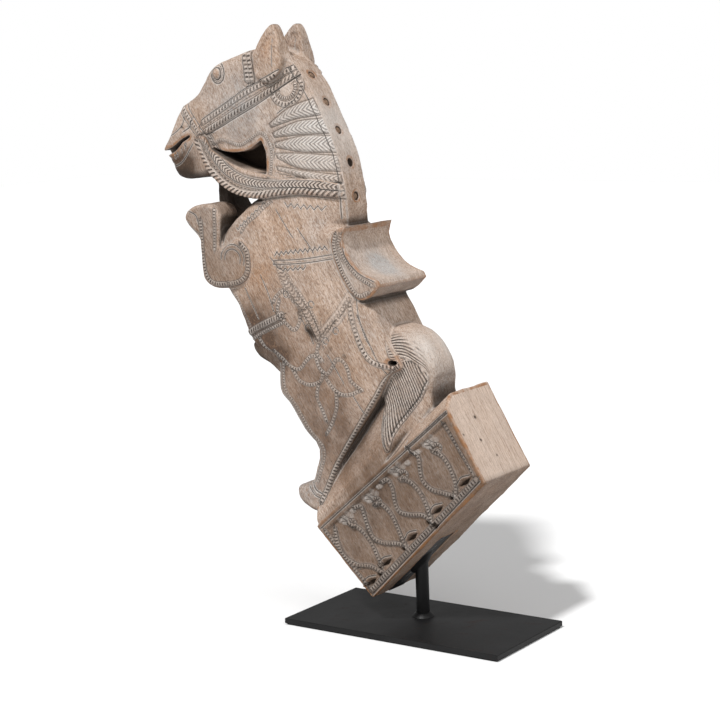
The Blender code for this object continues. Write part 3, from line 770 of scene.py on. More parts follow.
def carve_trunk(relief):
    # saddle cloth: zigzag and double line along its top, floral bands down to a point
    relief.groove(zigzag((-0.160, 0.4145), (-0.088, 0.4235), 11, 0.0042), 0.0007, 0.0009, curved=False)
    edge = [(-0.163, 0.409), (-0.122, 0.412), (-0.083, 0.418)]
    relief.groove(edge, 0.0007, 0.0010)
    relief.groove(shifted(edge, 0.001, -0.0045), 0.0007, 0.0010)
    relief.groove([(-0.166, 0.412), (-0.158, 0.403), (-0.153, 0.400)], 0.0007, 0.0008)
    relief.groove(zigzag((-0.152, 0.401), (-0.118, 0.404), 5, -0.0036), 0.0007, 0.0008, curved=False)
    band_a = [(-0.152, 0.404), (-0.145, 0.386), (-0.129, 0.367), (-0.115, 0.348), (-0.102, 0.324)]
    band_b = [(-0.060, 0.371), (-0.073, 0.353), (-0.087, 0.339), (-0.100, 0.325)]
    for band in (band_a, band_b):
        relief.chevrons(band, 0.0042, 0.0046, 0.0006, slant=0.6)
        relief.beads(shifted(band, 0.0046, 0.0030), 0.0012, 0.0032, 0.0006)
        relief.beads(shifted(band, -0.0046, -0.0030), 0.0012, 0.0032, 0.0006)
    for x, z in ((-0.146, 0.372), (-0.112, 0.362), (-0.094, 0.322), (-0.080, 0.334), (-0.118, 0.335)):
        ring = [(x + 0.0036 * math.cos(a), z + 0.0036 * math.sin(a))
                for a in np.radians(range(0, 330, 30))]
        relief.groove(ring, 0.0006, 0.0008)
    scrolls = [
        [(-0.165, 0.362), (-0.160, 0.369), (-0.150, 0.375), (-0.141, 0.370), (-0.134, 0.364),
         (-0.128, 0.371)],
        [(-0.156, 0.365), (-0.159, 0.351), (-0.148, 0.339), (-0.137, 0.332), (-0.129, 0.341),
         (-0.126, 0.354), (-0.118, 0.358)],
        [(-0.168, 0.306), (-0.156, 0.298), (-0.145, 0.290), (-0.132, 0.288), (-0.120, 0.300),
         (-0.110, 0.304), (-0.104, 0.292), (-0.094, 0.285), (-0.086, 0.293), (-0.080, 0.302),
         (-0.071, 0.300), (-0.065, 0.290), (-0.062, 0.279), (-0.048, 0.270)],
        [(-0.143, 0.287), (-0.133, 0.275), (-0.118, 0.271), (-0.103, 0.276), (-0.099, 0.285)],
        [(-0.095, 0.280), (-0.082, 0.266), (-0.067, 0.263), (-0.048, 0.270)],
        [(-0.106, 0.272), (-0.109, 0.258), (-0.102, 0.243), (-0.097, 0.232)],
        [(-0.082, 0.264), (-0.083, 0.247), (-0.090, 0.229), (-0.098, 0.217)],
        [(-0.104, 0.318), (-0.106, 0.308), (-0.100, 0.300)],
    ]
    for path in scrolls:
        relief.beads(path, 0.0014, 0.0036, 0.0009)
    border = [(-0.061, 0.371), (-0.058, 0.351), (-0.051, 0.327), (-0.041, 0.309), (-0.028, 0.300),
              (-0.006, 0.297)]
    relief.beads(border, 0.0020, 0.0048, 0.0011)
    relief.groove([(-0.052, 0.373), (-0.049, 0.352), (-0.042, 0.330), (-0.030, 0.312)], 0.0006, 0.0006)

    vine = [(-0.166, 0.474), (-0.176, 0.468), (-0.186, 0.459), (-0.199, 0.450), (-0.207, 0.440)]
    relief.beads(vine, 0.0013, 0.0036, 0.0008)
    relief.groove(zigzag((-0.172, 0.478), (-0.214, 0.444), 8, -0.0040), 0.0006, 0.0008, curved=False)
    relief.groove(zigzag((-0.146, 0.474), (-0.096, 0.470), 6, -0.0050), 0.0006, 0.0007, curved=False)

    strap = [(-0.208, 0.322), (-0.187, 0.333), (-0.153, 0.348)]
    relief.ridge(strap, 0.0050, 0.0010)
    relief.beads(strap, 0.0024, 0.0038, 0.0016, slant=0.3)
    relief.beads(shifted(strap, 0.003, -0.0075), 0.0012, 0.0034, 0.0010)
    relief.beads([(-0.188, 0.319), (-0.179, 0.307), (-0.164, 0.298)], 0.0014, 0.0036, 0.0010)

    # borders along the chest and the hind leg
    chest = [(-0.231, 0.380), (-0.218, 0.353), (-0.206, 0.331)]
    relief.groove(chest, 0.0008, 0.0009)
    relief.beads(shifted(chest, 0.005, 0.002), 0.0012, 0.0030, 0.0007)
    front = [(-0.160, 0.292), (-0.1595, 0.264), (-0.145, 0.245), (-0.1275, 0.219), (-0.1075, 0.197),
             (-0.114, 0.170), (-0.118, 0.160)]
    relief.groove(front, 0.0008, 0.0010)
    relief.beads(shifted(front, 0.0045, 0.001), 0.0012, 0.0032, 0.0008)
    back = [(-0.008, 0.2905), (-0.019, 0.281), (-0.033, 0.260), (-0.051, 0.234), (-0.070, 0.207),
            (-0.089, 0.178), (-0.105, 0.146), (-0.110, 0.137)]
    relief.beads(back, 0.0019, 0.0042, 0.0016)
    relief.groove([(-0.122, 0.158), (-0.116, 0.150), (-0.109, 0.147)], 0.0010, 0.0012)
    relief.groove([(-0.126, 0.153), (-0.119, 0.145), (-0.111, 0.141)], 0.0008, 0.0010)


def carve_foreleg(relief):
    border = [(-0.2630, 0.452), (-0.2622, 0.430), (-0.2612, 0.405), (-0.2570, 0.388),
              (-0.247, 0.3805), (-0.228, 0.3805), (-0.210, 0.384), (-0.2000, 0.393),
              (-0.1970, 0.405), (-0.1985, 0.4185), (-0.2060, 0.4265)]
    relief.beads(border, 0.0017, 0.0036, 0.0012)
    relief.beads([(-0.2425, 0.466), (-0.2425, 0.448), (-0.2435, 0.430), (-0.2445, 0.4195)],
                 0.0014, 0.0034, 0.0010)
    for radius in (0.0115, 0.0170):
        arc = [(-0.219 + radius * math.cos(a), 0.409 + radius * math.sin(a))
               for a in np.radians(np.arange(-20, 190, 20))]
        relief.groove(arc, 0.0007, 0.0009)
    relief.groove([(-0.283, 0.450), (-0.275, 0.442), (-0.266, 0.436)], 0.0008, 0.0010)
    relief.groove([(-0.279, 0.462), (-0.270, 0.458), (-0.266, 0.448)], 0.0008, 0.0009)


def carve_saddle(relief):
    outer = [(-0.074, 0.441), (-0.0765, 0.428), (-0.071, 0.409), (-0.058, 0.386), (-0.046, 0.3745),
             (-0.033, 0.378)]
    inner = [(-0.066, 0.441), (-0.070, 0.431), (-0.062, 0.413), (-0.048, 0.397), (-0.029, 0.387)]
    relief.beads(outer, 0.0016, 0.0032, 0.0010)
    relief.beads(inner, 0.0014, 0.0030, 0.0009)
    relief.groove([(-0.066, 0.436), (-0.062, 0.4165), (-0.046, 0.3995), (-0.026, 0.391)],
                  0.0007, 0.0008)
    relief.spot((-0.062, 0.400), (0.022, 0.004), wash=0.5)


FAN_OUTER = [(-0.017, 0.333), (-0.005, 0.336), (0.007, 0.335), (0.020, 0.327), (0.030, 0.315),
             (0.034, 0.302), (0.033, 0.290)]
FAN_INNER = [(-0.011, 0.309), (-0.003, 0.308), (0.006, 0.307), (0.015, 0.303), (0.024, 0.297),
             (0.029, 0.289)]
HANK = [(-0.006, 0.298), (-0.015, 0.282), (-0.0215, 0.267), (-0.0262, 0.247), (-0.0258, 0.229),
        (-0.020, 0.213), (-0.0155, 0.204), (-0.0115, 0.220), (-0.005, 0.233), (0.005, 0.246),
        (0.020, 0.263), (0.027, 0.279), (0.027, 0.290), (0.018, 0.301), (0.006, 0.305)]
HANK_MIDDLE = [(0.006, 0.315), (0.003, 0.292), (0.000, 0.270), (-0.008, 0.240), (-0.016, 0.212),
               (-0.018, 0.196)]


def fan_phase(x, z):
    outer = np.abs(path_distance(smooth(FAN_OUTER), x, z)[0])
    inner = np.abs(path_distance(smooth(FAN_INNER), x, z)[0])
    strands = 9
    return math.pi * strands * outer / (outer + inner + 1e-6)


def hank_phase(x, z):
    """Strands that run down across the hank, 31 degrees off its length."""
    across, along, _ = path_distance(smooth(HANK_MIDDLE), x, z)
    turn = math.radians(31)
    spacing = 0.0030
    return math.pi * (math.sin(turn) * along + math.cos(turn) * across) / spacing


def carve_tail(relief):
    relief.combed(FAN_OUTER + FAN_INNER[::-1], fan_phase, 0.0012)
    relief.combed(HANK, hank_phase, 0.0014)
    relief.groove(FAN_OUTER[2:], 0.0007, 0.0012)
    relief.groove([(0.027, 0.282), (0.019, 0.265), (0.004, 0.2485), (-0.007, 0.235), (-0.0125, 0.222)],
                  0.0008, 0.0014)
    relief.groove([(-0.0262, 0.240), (-0.0245, 0.224), (-0.018, 0.209)], 0.0007, 0.0010)
    relief.spot((-0.016, 0.206), (0.008, 0.004), warm=1.3)


def on_plinth(along, up):
    """A point of the plinth's face, from its lowest corner along the underside and up."""
    foot_x, foot_z = PLINTH_FOOT
    return (foot_x + (along - up) * math.cos(TILT), foot_z + (along + up) * math.cos(TILT))


def plinth_path(points):
    return [on_plinth(*p) for p in points]


STEMS = [
    [(0.037, 0.078), (0.043, 0.069), (0.046, 0.055), (0.044, 0.040), (0.040, 0.027), (0.037, 0.018)],
    [(0.080, 0.071), (0.088, 0.067), (0.090, 0.052), (0.087, 0.038), (0.082, 0.024), (0.079, 0.012)],
    [(0.128, 0.069), (0.136, 0.060), (0.138, 0.045), (0.135, 0.031), (0.130, 0.018), (0.126, 0.010)],
    [(0.184, 0.064), (0.189, 0.052), (0.188, 0.037), (0.183, 0.024), (0.177, 0.016), (0.170, 0.011)],
]
SWEEPS = [
    [(0.018, 0.087), (0.011, 0.076), (0.007, 0.065), (0.007, 0.050), (0.012, 0.038), (0.025, 0.026),
     (0.032, 0.012)],
    [(0.057, 0.086), (0.065, 0.081), (0.061, 0.071), (0.055, 0.059), (0.052, 0.046), (0.058, 0.034),
     (0.072, 0.022), (0.079, 0.012)],
    [(0.107, 0.082), (0.115, 0.079), (0.112, 0.067), (0.104, 0.056), (0.101, 0.045), (0.109, 0.034),
     (0.122, 0.023), (0.126, 0.010)],
    [(0.163, 0.080), (0.165, 0.070), (0.156, 0.059), (0.150, 0.048), (0.152, 0.035), (0.160, 0.024),
     (0.169, 0.012)],
]
FLOWERS = [(0.036, 0.083), (0.081, 0.079), (0.131, 0.077), (0.186, 0.070)]
BUDS = [(0.052, 0.085), (0.100, 0.081), (0.149, 0.075), (0.168, 0.075)]
EYES = [(0.011, 0.0140), (0.044, 0.0165), (0.092, 0.0150), (0.140, 0.0150), (0.190, 0.0140)]


def carve_frieze(relief):
    field = plinth_path([(0.0095, 0.0100), (0.2035, 0.0100), (0.2200, 0.0745), (0.0095, 0.0925)])
    relief.fill(field, -0.0024, 0.0006, curved=False)
    relief.groove(plinth_path([(0.003, 0.0985), (0.228, 0.0795)]), 0.0008, 0.0014, curved=False)
    relief.groove(plinth_path([(0.160, 0.0875), (0.230, 0.0815)]), 0.0007, 0.0012, curved=False)
    relief.groove(plinth_path([(0.1615, 0.093), (0.1625, 0.077)]), 0.0012, 0.0030, curved=False)
    left = [(0.0060, 0.093), (0.0055, 0.050), (0.0058, 0.013)]
    right = [(0.2165, 0.0745), (0.2115, 0.045), (0.2055, 0.013)]
    bottom = [(0.006, 0.0064), (0.100, 0.0060), (0.2045, 0.0062)]
    for row, width, pitch, height in ((left, 0.0015, 0.0038, 0.0013), (right, 0.0016, 0.0040, 0.0014),
                                      (bottom, 0.0024, 0.0040, 0.0018)):
        relief.beads(plinth_path(row), width, pitch, height)
    relief.groove(plinth_path([(0.003, 0.0022), (0.207, 0.0022)]), 0.0008, 0.0012, curved=False)
    band = plinth_path([(0.0, -0.002), (0.212, -0.004), (0.212, 0.0100), (0.0, 0.0100)])
    relief.fill(band, 0.0, curved=False, warm=0.55, umber=0.25)
    chip = plinth_path([(0.123, 0.007), (0.129, 0.008), (0.131, 0.002), (0.124, 0.001)])
    relief.fill(chip, -0.0030, 0.0006, curved=False, stain=0.9)
    for stem in STEMS + SWEEPS:
        relief.ridge(plinth_path(stem), 0.0034, 0.0015)
        relief.beads(plinth_path(stem), 0.0016, 0.0036, 0.0014, wash=0.30)
    for along, up in FLOWERS:
        carve_flower(relief, along, up)
    for along, up in BUDS:
        bud = [(along - 0.004, up + 0.003), (along + 0.003, up + 0.002), (along + 0.004, up - 0.003),
               (along - 0.002, up - 0.002)]
        relief.fill(plinth_path(bud), 0.0014, 0.0006, wash=0.55)
    for along, up in EYES:
        carve_eye(relief, along, up)
    for along in (0.0290, 0.0765, 0.1235, 0.1675):
        notch = plinth_path([(along - 0.004, 0.0165), (along + 0.001, 0.0115), (along - 0.005, 0.0112)])
        relief.fill(notch, -0.0026, 0.0005, curved=False, stain=0.9)


def carve_flower(relief, along, up):
    """A limewashed flower: a pale cup with three petals, and a beaded curl below it."""
    def around(*steps):
        return plinth_path([(along + a / 1000, up + b / 1000) for a, b in steps])

    relief.fill(around((-7, 2), (-3, 7), (3, 6), (5, 0), (1, -4), (-4, -3)), 0.0005, 0.0007, wash=0.62)
    for petal in (around((4, 5), (9, 8), (11, 4), (7, 1)), around((6, 0), (12, 2), (13, -3), (8, -4)),
                  around((-9, 7), (-5, 9), (-4, 5), (-8, 3))):
        relief.fill(petal, 0.0005, 0.0006, wash=0.40)
    curl = around((2, -3), (8, -5), (9, -10), (4, -12), (2, -8))
    relief.ridge(curl, 0.0024, 0.0010)
    relief.beads(curl, 0.0012, 0.0030, 0.0010)
    for line in (around((-5, 3), (-1, 0), (1, -4)), around((3, 5), (5, 0), (8, -3)),
                 around((-3, 7), (0, 3), (1, -1))):
        relief.groove(line, 0.0005, 0.0008)


def carve_eye(relief, along, up):
    """A dark lens-shaped hollow at a stem's foot, under an incised brow."""
    half, drop = 0.0085, 0.0030
    lens = [(along - half, up + 0.001, 1), (along, up - drop), (along + half, up - 0.001, 1),
            (along, up + drop * 0.6)]
    corners = [(*on_plinth(p[0], p[1]), *p[2:]) for p in lens]
    relief.fill(corners, -0.0042, 0.0005, stain=1.0)
    brow = [(along - half - 0.001, up + 0.0025), (along, up + drop + 0.0020),
            (along + half + 0.002, up)]
    relief.ridge(plinth_path(brow), 0.0014, 0.0012)
    relief.groove(shifted(plinth_path(brow), -0.0012, 0.0012), 0.0007, 0.0012)


def carve_cracks(relief):
    """Checks along the fibres, knots and stains."""
    cracks = [
        [(-0.158, 0.466), (-0.146, 0.450), (-0.134, 0.436)],
        [(-0.128, 0.446), (-0.114, 0.430), (-0.107, 0.419)],
        [(-0.051, 0.352), (-0.040, 0.330), (-0.027, 0.305), (-0.016, 0.290)],
        [(-0.182, 0.392), (-0.172, 0.372), (-0.165, 0.352)],
        [(-0.126, 0.345), (-0.117, 0.330), (-0.111, 0.318)],
        [(-0.092, 0.306), (-0.082, 0.292), (-0.072, 0.276)],
        [(-0.205, 0.376), (-0.193, 0.352), (-0.188, 0.342)],
        [(-0.060, 0.262), (-0.049, 0.246), (-0.042, 0.238)],
    ]
    for path in cracks:
        relief.groove(path, 0.0006, 0.0010)
    relief.spot((-0.113, 0.328), (0.008, 0.005), stain=0.9, height=-0.0012)
    relief.spot((-0.119, 0.333), (0.005, 0.004), stain=0.6)
    relief.spot((-0.128, 0.352), (0.012, 0.004), stain=0.5)
    relief.spot((-0.088, 0.314), (0.004, 0.004), stain=0.45, height=0.0008)
    relief.spot((-0.070, 0.306), (0.004, 0.003), stain=0.6, height=-0.0010)


def make_relief(x, z):
    relief = Relief(x, z)
    carve_head(relief)
    carve_reins(relief)
    carve_mane(relief)
    carve_trunk(relief)
    carve_foreleg(relief)
    carve_saddle(relief)
    carve_tail(relief)
    carve_frieze(relief)
    carve_cracks(relief)
    return relief


# --- the carving's mesh -------------------------------------------------------------
def mesh_from(name, points, quads):
    mesh = bpy.data.meshes.new(name)
    mesh.vertices.add(len(points))
    mesh.vertices.foreach_set("co", points.astype(np.float32).ravel())
    mesh.loops.add(quads.size)
    mesh.loops.foreach_set("vertex_index", quads.astype(np.int32).ravel())
    mesh.polygons.add(len(quads))
    mesh.polygons.foreach_set("loop_start", np.arange(0, quads.size, 4, dtype=np.int32))
    mesh.update(calc_edges=True)
    mesh.shade_smooth()
    return mesh


def normals_of(mesh):
    normals = np.empty(len(mesh.vertices) * 3, np.float32)
    mesh.vertex_normals.foreach_get("vector", normals)
    return normals.reshape(-1, 3).astype(float)


def set_attribute(mesh, name, values):
    attribute = mesh.attributes.new(name, "FLOAT", "POINT")
    attribute.data.foreach_set("value", values.astype(np.float32))


# Tones of the surface, weathering and some painted shade: layer, middle, radius and strength.
# (layer, middle, radius, strength) of the soft patches of colour
TONES = [
    ("warm", (-0.190, -0.03, 0.395), 0.026, 0.9),
    ("warm", (-0.150, -0.03, 0.440), 0.040, 0.4),
    ("warm", (-0.100, -0.03, 0.290), 0.050, 0.7),
    ("warm", (-0.140, -0.03, 0.380), 0.034, 0.8),
    ("warm", (-0.062, -0.022, 0.400), 0.014, 1.1),
    ("warm", (-0.180, -0.01, 0.645), 0.022, 0.8),
    ("warm", (-0.115, 0.010, 0.600), 0.020, 0.5),
    ("warm", (0.020, -0.010, 0.335), 0.022, 0.5),
    ("grey", (-0.220, -0.03, 0.590), 0.042, 0.8),
    ("grey", (-0.215, -0.03, 0.555), 0.030, 0.4),
    ("wash", (-0.218, -0.03, 0.575), 0.040, 0.12),
    ("warm", (-0.304, -0.012, 0.534), 0.012, 1.2),
    ("grey", (-0.150, -0.02, 0.540), 0.040, 0.6),
    # The grey in the saddle's seat is partly weathering and partly painted shade.
    ("grey", (-0.040, 0.012, 0.410), 0.018, 3.0),
    ("grey", (-0.110, 0.010, 0.560), 0.025, 0.4),
    ("grey", (0.035, 0.010, 0.275), 0.022, 1.0),
    ("grey", (-0.290, -0.01, 0.455), 0.025, 0.9),
    ("grey", (-0.285, 0.045, 0.470), 0.040, 1.0),
    ("grey", (-0.130, -0.02, 0.150), 0.025, 1.0),
    # Painted shade under the chin.
    ("grey", (-0.310, -0.01, 0.515), 0.030, 0.9),
    ("umber", (-0.120, -0.03, 0.290), 0.060, 0.40),
    ("umber", (-0.110, -0.03, 0.215), 0.060, 0.55),
    ("umber", (-0.190, -0.03, 0.330), 0.030, 0.35),
    ("umber", (-0.050, -0.02, 0.190), 0.055, 0.55),
    ("umber", (-0.240, -0.03, 0.410), 0.040, 0.30),
    # Painted shade under the chin.
    ("umber", (-0.320, 0.01, 0.505), 0.030, 0.75),
    ("umber", (-0.240, 0.012, 0.360), 0.035, 0.40),
    # Painted shade under the chin.
    ("umber", (-0.300, -0.010, 0.500), 0.030, 1.4),
    ("umber", (-0.205, -0.02, 0.322), 0.030, 1.0),
    ("grey", (-0.180, -0.03, 0.325), 0.022, 0.8),
    # Painted shade under the chin: these four dark patches.
    ("stain", (-0.300, -0.010, 0.503), 0.022, 0.50),
    ("stain", (-0.302, -0.010, 0.494), 0.012, 1.10),
    ("stain", (-0.282, -0.010, 0.494), 0.012, 1.00),
    ("stain", (-0.318, -0.010, 0.500), 0.009, 0.80),
    # Painted shade on the far hind knee.
    ("stain", (-0.245, 0.032, 0.290), 0.020, 0.90),
    ("stain", (-0.222, 0.032, 0.272), 0.022, 0.90),
    ("warm", (-0.110, -0.030, 0.230), 0.055, 0.7),
    ("warm", (-0.060, -0.030, 0.180), 0.045, 0.6),
    ("warm", (-0.160, -0.030, 0.335), 0.030, 0.9),
    ("umber", (-0.175, -0.030, 0.340), 0.030, 0.35),
    ("umber", (-0.163, -0.030, 0.300), 0.018, 1.0),
    ("stain", (-0.163, -0.030, 0.300), 0.014, 0.25),
    ("stain", (-0.135, -0.030, 0.131), 0.010, 0.40),
    ("umber", (-0.225, -0.010, 0.560), 0.040, 0.18),
    ("stain", (0.0974, 0.0097, 0.2027), 0.0016, 0.9),
    ("wash", (-0.098, 0.012, 0.560), 0.042, 0.60),
    ("wash", (0.026, -0.010, 0.320), 0.030, 0.70),
    ("wash", (-0.040, 0.000, 0.405), 0.034, 0.38),
    # Painted shade on the far hind knee.
    ("umber", (-0.250, 0.045, 0.290), 0.035, 0.7),
    ("stain", (0.0737, 0.0051, 0.2433), 0.0022, 1.2),
    ("stain", (0.0809, -0.0298, 0.2310), 0.0016, 1.0),
    ("stain", (0.0867, -0.0052, 0.2211), 0.0018, 1.1),
    # Painted shade on the far foreleg under the chin.
    ("stain", (-0.268, 0.045, 0.475), 0.055, 1.0),
    ("stain", (-0.215, 0.030, 0.455), 0.020, 0.8),
]


def plinth_face(x, y, z):
    """1 on the plinth's carved sides, which have kept the most dirt."""
    foot_x, foot_z = PLINTH_FOOT
    up = ((z - foot_z) - (x - foot_x)) * math.cos(TILT)
    along = ((x - foot_x) + (z - foot_z)) * math.cos(TILT)
    below_top = ramp(up, 0.107 - 0.085 * along, 0.101 - 0.085 * along)
    before_end = ramp(along, 0.245, 0.205 + 0.26 * up)
    return below_top * before_end * ramp(np.abs(y - MID_Y), 0.044, 0.0475)


def side_relief(x, y, z, normals):
    """The relief's layers at the surface points, fading out where a face turns away."""
    facing = ramp(np.abs(normals[:, 1]), 0.45, 0.80) * ramp(np.abs(y - MID_Y), 0.010, 0.014)
    carved = np.flatnonzero(facing > 0)
    relief = make_relief(x[carved], z[carved])
    layers = {}
    for name, values in relief.layers.items():
        layers[name] = np.full(len(x), Relief.FAR if name in ("cut", "row") else 0.0)
        layers[name][carved] = values
    for name in ("height", "stain", "wash", "cut_depth", "bead_height"):
        layers[name] *= facing
    most_raised, deepest = 0.0022, -0.0065
    layers["height"] = np.clip(layers["height"], deepest, most_raised)
    for name in ("cut", "row"):
        layers[name] = steepened(layers[name])
    return layers


def steepened(distance, start=3.0, gain=60.0):
    """Signed distances that grow steeply past start, so that where the nearest line
    changes side from one point to the next, no false line is seen between them."""
    beyond = np.maximum(np.abs(distance) - start, 0.0)
    return distance + np.sign(distance) * beyond * gain


def add_tones(layers, x, y, z):
    """Broad tones of the near half are met again on the far half."""
    folded = MID_Y - np.abs(y - MID_Y)
    for name, centre, radius, strength in TONES:
        depth = folded if centre[1] < MID_Y and radius > 0.010 else y
        square = (x - centre[0]) ** 2 + (depth - centre[1]) ** 2 + (z - centre[2]) ** 2
        layers[name] += strength * np.exp(-square / radius ** 2)


def throat_painted_shade(x, y, z):
    """Painted shade: the pockets behind the reins, darkened in colour."""
    flat = outline_distance(smooth(THROAT, closed=True), x, z)
    return ramp(flat, 0.0012, -0.0004) * ramp(np.abs(y - MID_Y), 0.026, 0.018)


def make_carving():
    margin = 0.006
    clay = Clay(carving_low - Vector((margin,) * 3), carving_high + Vector((margin,) * 3), STEP)
    sculpt_masses(clay)
    sculpt_details(clay)
    points, quads = clay.surface()
    mesh = mesh_from("carving", points, quads)
    normals = normals_of(mesh)
    x, y, z = points.T

    reach = 0.004
    hollow = 1 - clay.sample(points + normals * reach) / reach
    edge = 1 + clay.sample(points - normals * reach) / reach
    far_reach = 0.014
    deep = 1 - clay.sample(points + normals * far_reach) / far_reach

    layers = side_relief(x, y, z, normals)
    add_tones(layers, x, y, z)
    # Painted shade: the throat's pockets are darkened in colour.
    layers["stain"] += 1.1 * throat_painted_shade(x, y, z)
    layers["warm"] += 0.40 * plinth_face(x, y, z)
    # The plinth's carved sides are darkened as dirt; faces turned downwards are darkened as painted
    # shade.
    layers["umber"] += 0.42 * plinth_face(x, y, z) + 0.55 * ramp(-normals[:, 2], 0.15, 0.75)
    lean_x = x * math.cos(FIBRE_LEAN) - z * math.sin(FIBRE_LEAN)
    lean_z = x * math.sin(FIBRE_LEAN) + z * math.cos(FIBRE_LEAN)
    hand = (0.00040 * waves(x, y, z, 0.035, seed=5)
            + 0.00016 * waves(lean_x, y, lean_z * 0.15, 0.006, seed=9))
    points = points + normals * (layers.pop("height") + hand)[:, None]
    mesh.vertices.foreach_set("co", points.astype(np.float32).ravel())
    mesh.update()

    for name, values in layers.items():
        set_attribute(mesh, name, values)
    set_attribute(mesh, "hollow", np.clip(hollow, 0, 1.5))
    set_attribute(mesh, "deep", np.clip(deep, 0, 1.5))
    set_attribute(mesh, "edge", np.clip(edge, 0, 1.5))
    sawn = ramp(normals @ np.array([0.83, 0.0, 0.55]), 0.80, 0.93) * ramp(x, 0.045, 0.060)
    set_attribute(mesh, "sawn", sawn * ramp(z, 0.30, 0.28))
    carving = bpy.data.objects.new("carved_horse", mesh)
    bpy.context.scene.collection.objects.link(carving)
    print("carving", len(points), "points", len(quads), "quads")
    return carving


# --- materials ----------------------------------------------------------------------
class Nodes:
    """A small helper for building a node tree."""

    def __init__(self, name):
        self.material = bpy.data.materials.new(name)
        self.material.use_nodes = True
        self.tree = self.material.node_tree
        self.shader = self.tree.nodes["Principled BSDF"]

    def add(self, kind, **settings):
        node = self.tree.nodes.new(kind)
        for key, value in settings.items():
            setattr(node, key, value)
        return node

    def put(self, socket, value):
        """Links a socket to another node's output, or sets it to a plain value."""
        if isinstance(value, bpy.types.NodeSocket):
            self.tree.links.new(value, socket)
        else:
            socket.default_value = value

    def maths(self, operation, first, second=0.0, clamp=False):
        node = self.add("ShaderNodeMath", operation=operation, use_clamp=clamp)
        self.put(node.inputs[0], first)
        self.put(node.inputs[1], second)
        return node.outputs[0]

    def attribute(self, name):
        return self.add("ShaderNodeAttribute", attribute_name=name).outputs["Fac"]

    def place(self, rotation=(0, 0, 0), stretch=(1, 1, 1)):
        """Object coordinates in a turned frame, stretched along its axes."""
        coordinate = self.add("ShaderNodeTexCoord")
        mapping = self.add("ShaderNodeMapping", vector_type="TEXTURE")
        self.put(mapping.inputs["Vector"], coordinate.outputs["Object"])
        mapping.inputs["Rotation"].default_value = rotation
        mapping.inputs["Scale"].default_value = stretch
        return mapping.outputs[0]

    def noise(self, vector, scale, detail=4.0, roughness=0.55, distortion=0.0):
        node = self.add("ShaderNodeTexNoise")
        self.put(node.inputs["Vector"], vector)
        node.inputs["Scale"].default_value = scale
        node.inputs["Detail"].default_value = detail
        node.inputs["Roughness"].default_value = roughness
        node.inputs["Distortion"].default_value = distortion
        return node.outputs["Fac"]

    def span(self, value, low, high, out_low=0.0, out_high=1.0, kind="LINEAR"):
        node = self.add("ShaderNodeMapRange", interpolation_type=kind)
        self.put(node.inputs["Value"], value)
        node.inputs["From Min"].default_value = low
        node.inputs["From Max"].default_value = high
        node.inputs["To Min"].default_value = out_low
        node.inputs["To Max"].default_value = out_high
        return node.outputs[0]

    def mix(self, share, first, second, blend="MIX"):
        node = self.add("ShaderNodeMix", data_type="RGBA", blend_type=blend)
        self.put(node.inputs[0], share)
        for socket, value in ((node.inputs[6], first), (node.inputs[7], second)):
            self.put(socket, value if isinstance(value, bpy.types.NodeSocket) else (*value, 1.0))
        return node.outputs[2]

    def bump(self, height, distance, strength=1.0, normal=None):
        node = self.add("ShaderNodeBump")
        self.put(node.inputs["Height"], height)
        node.inputs["Distance"].default_value = distance
        node.inputs["Strength"].default_value = strength
        if normal is not None:
            self.put(node.inputs["Normal"], normal)
        return node.outputs[0]

    def set(self, **sockets):
        for name, value in sockets.items():
            self.put(self.shader.inputs[name.replace("_", " ")], value)


def carved_lines(n):
    """(incised core, its pale lips, dark gaps between beads, pale bead rows, height)."""
    cut = n.maths("ABSOLUTE", n.attribute("cut"))
    core = n.span(cut, 0.35, 1.10, 1.0, 0.0, "SMOOTHSTEP")
    lips = n.span(cut, 1.00, 2.60, 1.0, 0.0, "SMOOTHSTEP")
    row = n.maths("ABSOLUTE", n.attribute("row"))
    bead = n.maths("ABSOLUTE", n.maths("SINE", n.attribute("phase")))
    inside = n.span(row, 0.72, 1.02, 1.0, 0.0, "SMOOTHSTEP")
    gap = n.maths("MULTIPLY", inside, n.span(bead, 0.30, 0.82, 1.0, 0.0, "SMOOTHSTEP"))
    pale = n.span(row, 1.30, 2.20, 1.0, 0.0, "SMOOTHSTEP")
    rail = n.maths("MULTIPLY", n.span(row, 1.25, 1.55, 0.0, 1.0, "SMOOTHSTEP"),
                   n.span(row, 1.60, 2.00, 1.0, 0.0, "SMOOTHSTEP"))
    raised = n.maths("MULTIPLY", n.span(row, 0.95, 1.45, 1.0, 0.0, "SMOOTHSTEP"), 0.5)
    raised = n.maths("SUBTRACT", raised, gap)
    raised = n.maths("SUBTRACT", raised, n.maths("MULTIPLY", rail, 0.5))
    height = n.maths("MULTIPLY", raised, n.attribute("bead_height"))
    height = n.maths("SUBTRACT", height, n.maths("MULTIPLY", core, n.attribute("cut_depth")))
    rubbed = n.span(n.noise(n.place(), 60.0, 3.0, 0.6), 0.38, 0.56, 0.62, 1.0)
    strength = n.maths("MULTIPLY", n.span(n.attribute("bead_height"), 0.0, 0.0010), rubbed)
    return (n.maths("MULTIPLY", core, n.span(n.attribute("cut_depth"), 0.0, 0.0004)), lips,
            n.maths("MULTIPLY", n.maths("MAXIMUM", gap, n.maths("MULTIPLY", rail, 0.6)), strength),
            n.maths("MULTIPLY", pale, strength), height)


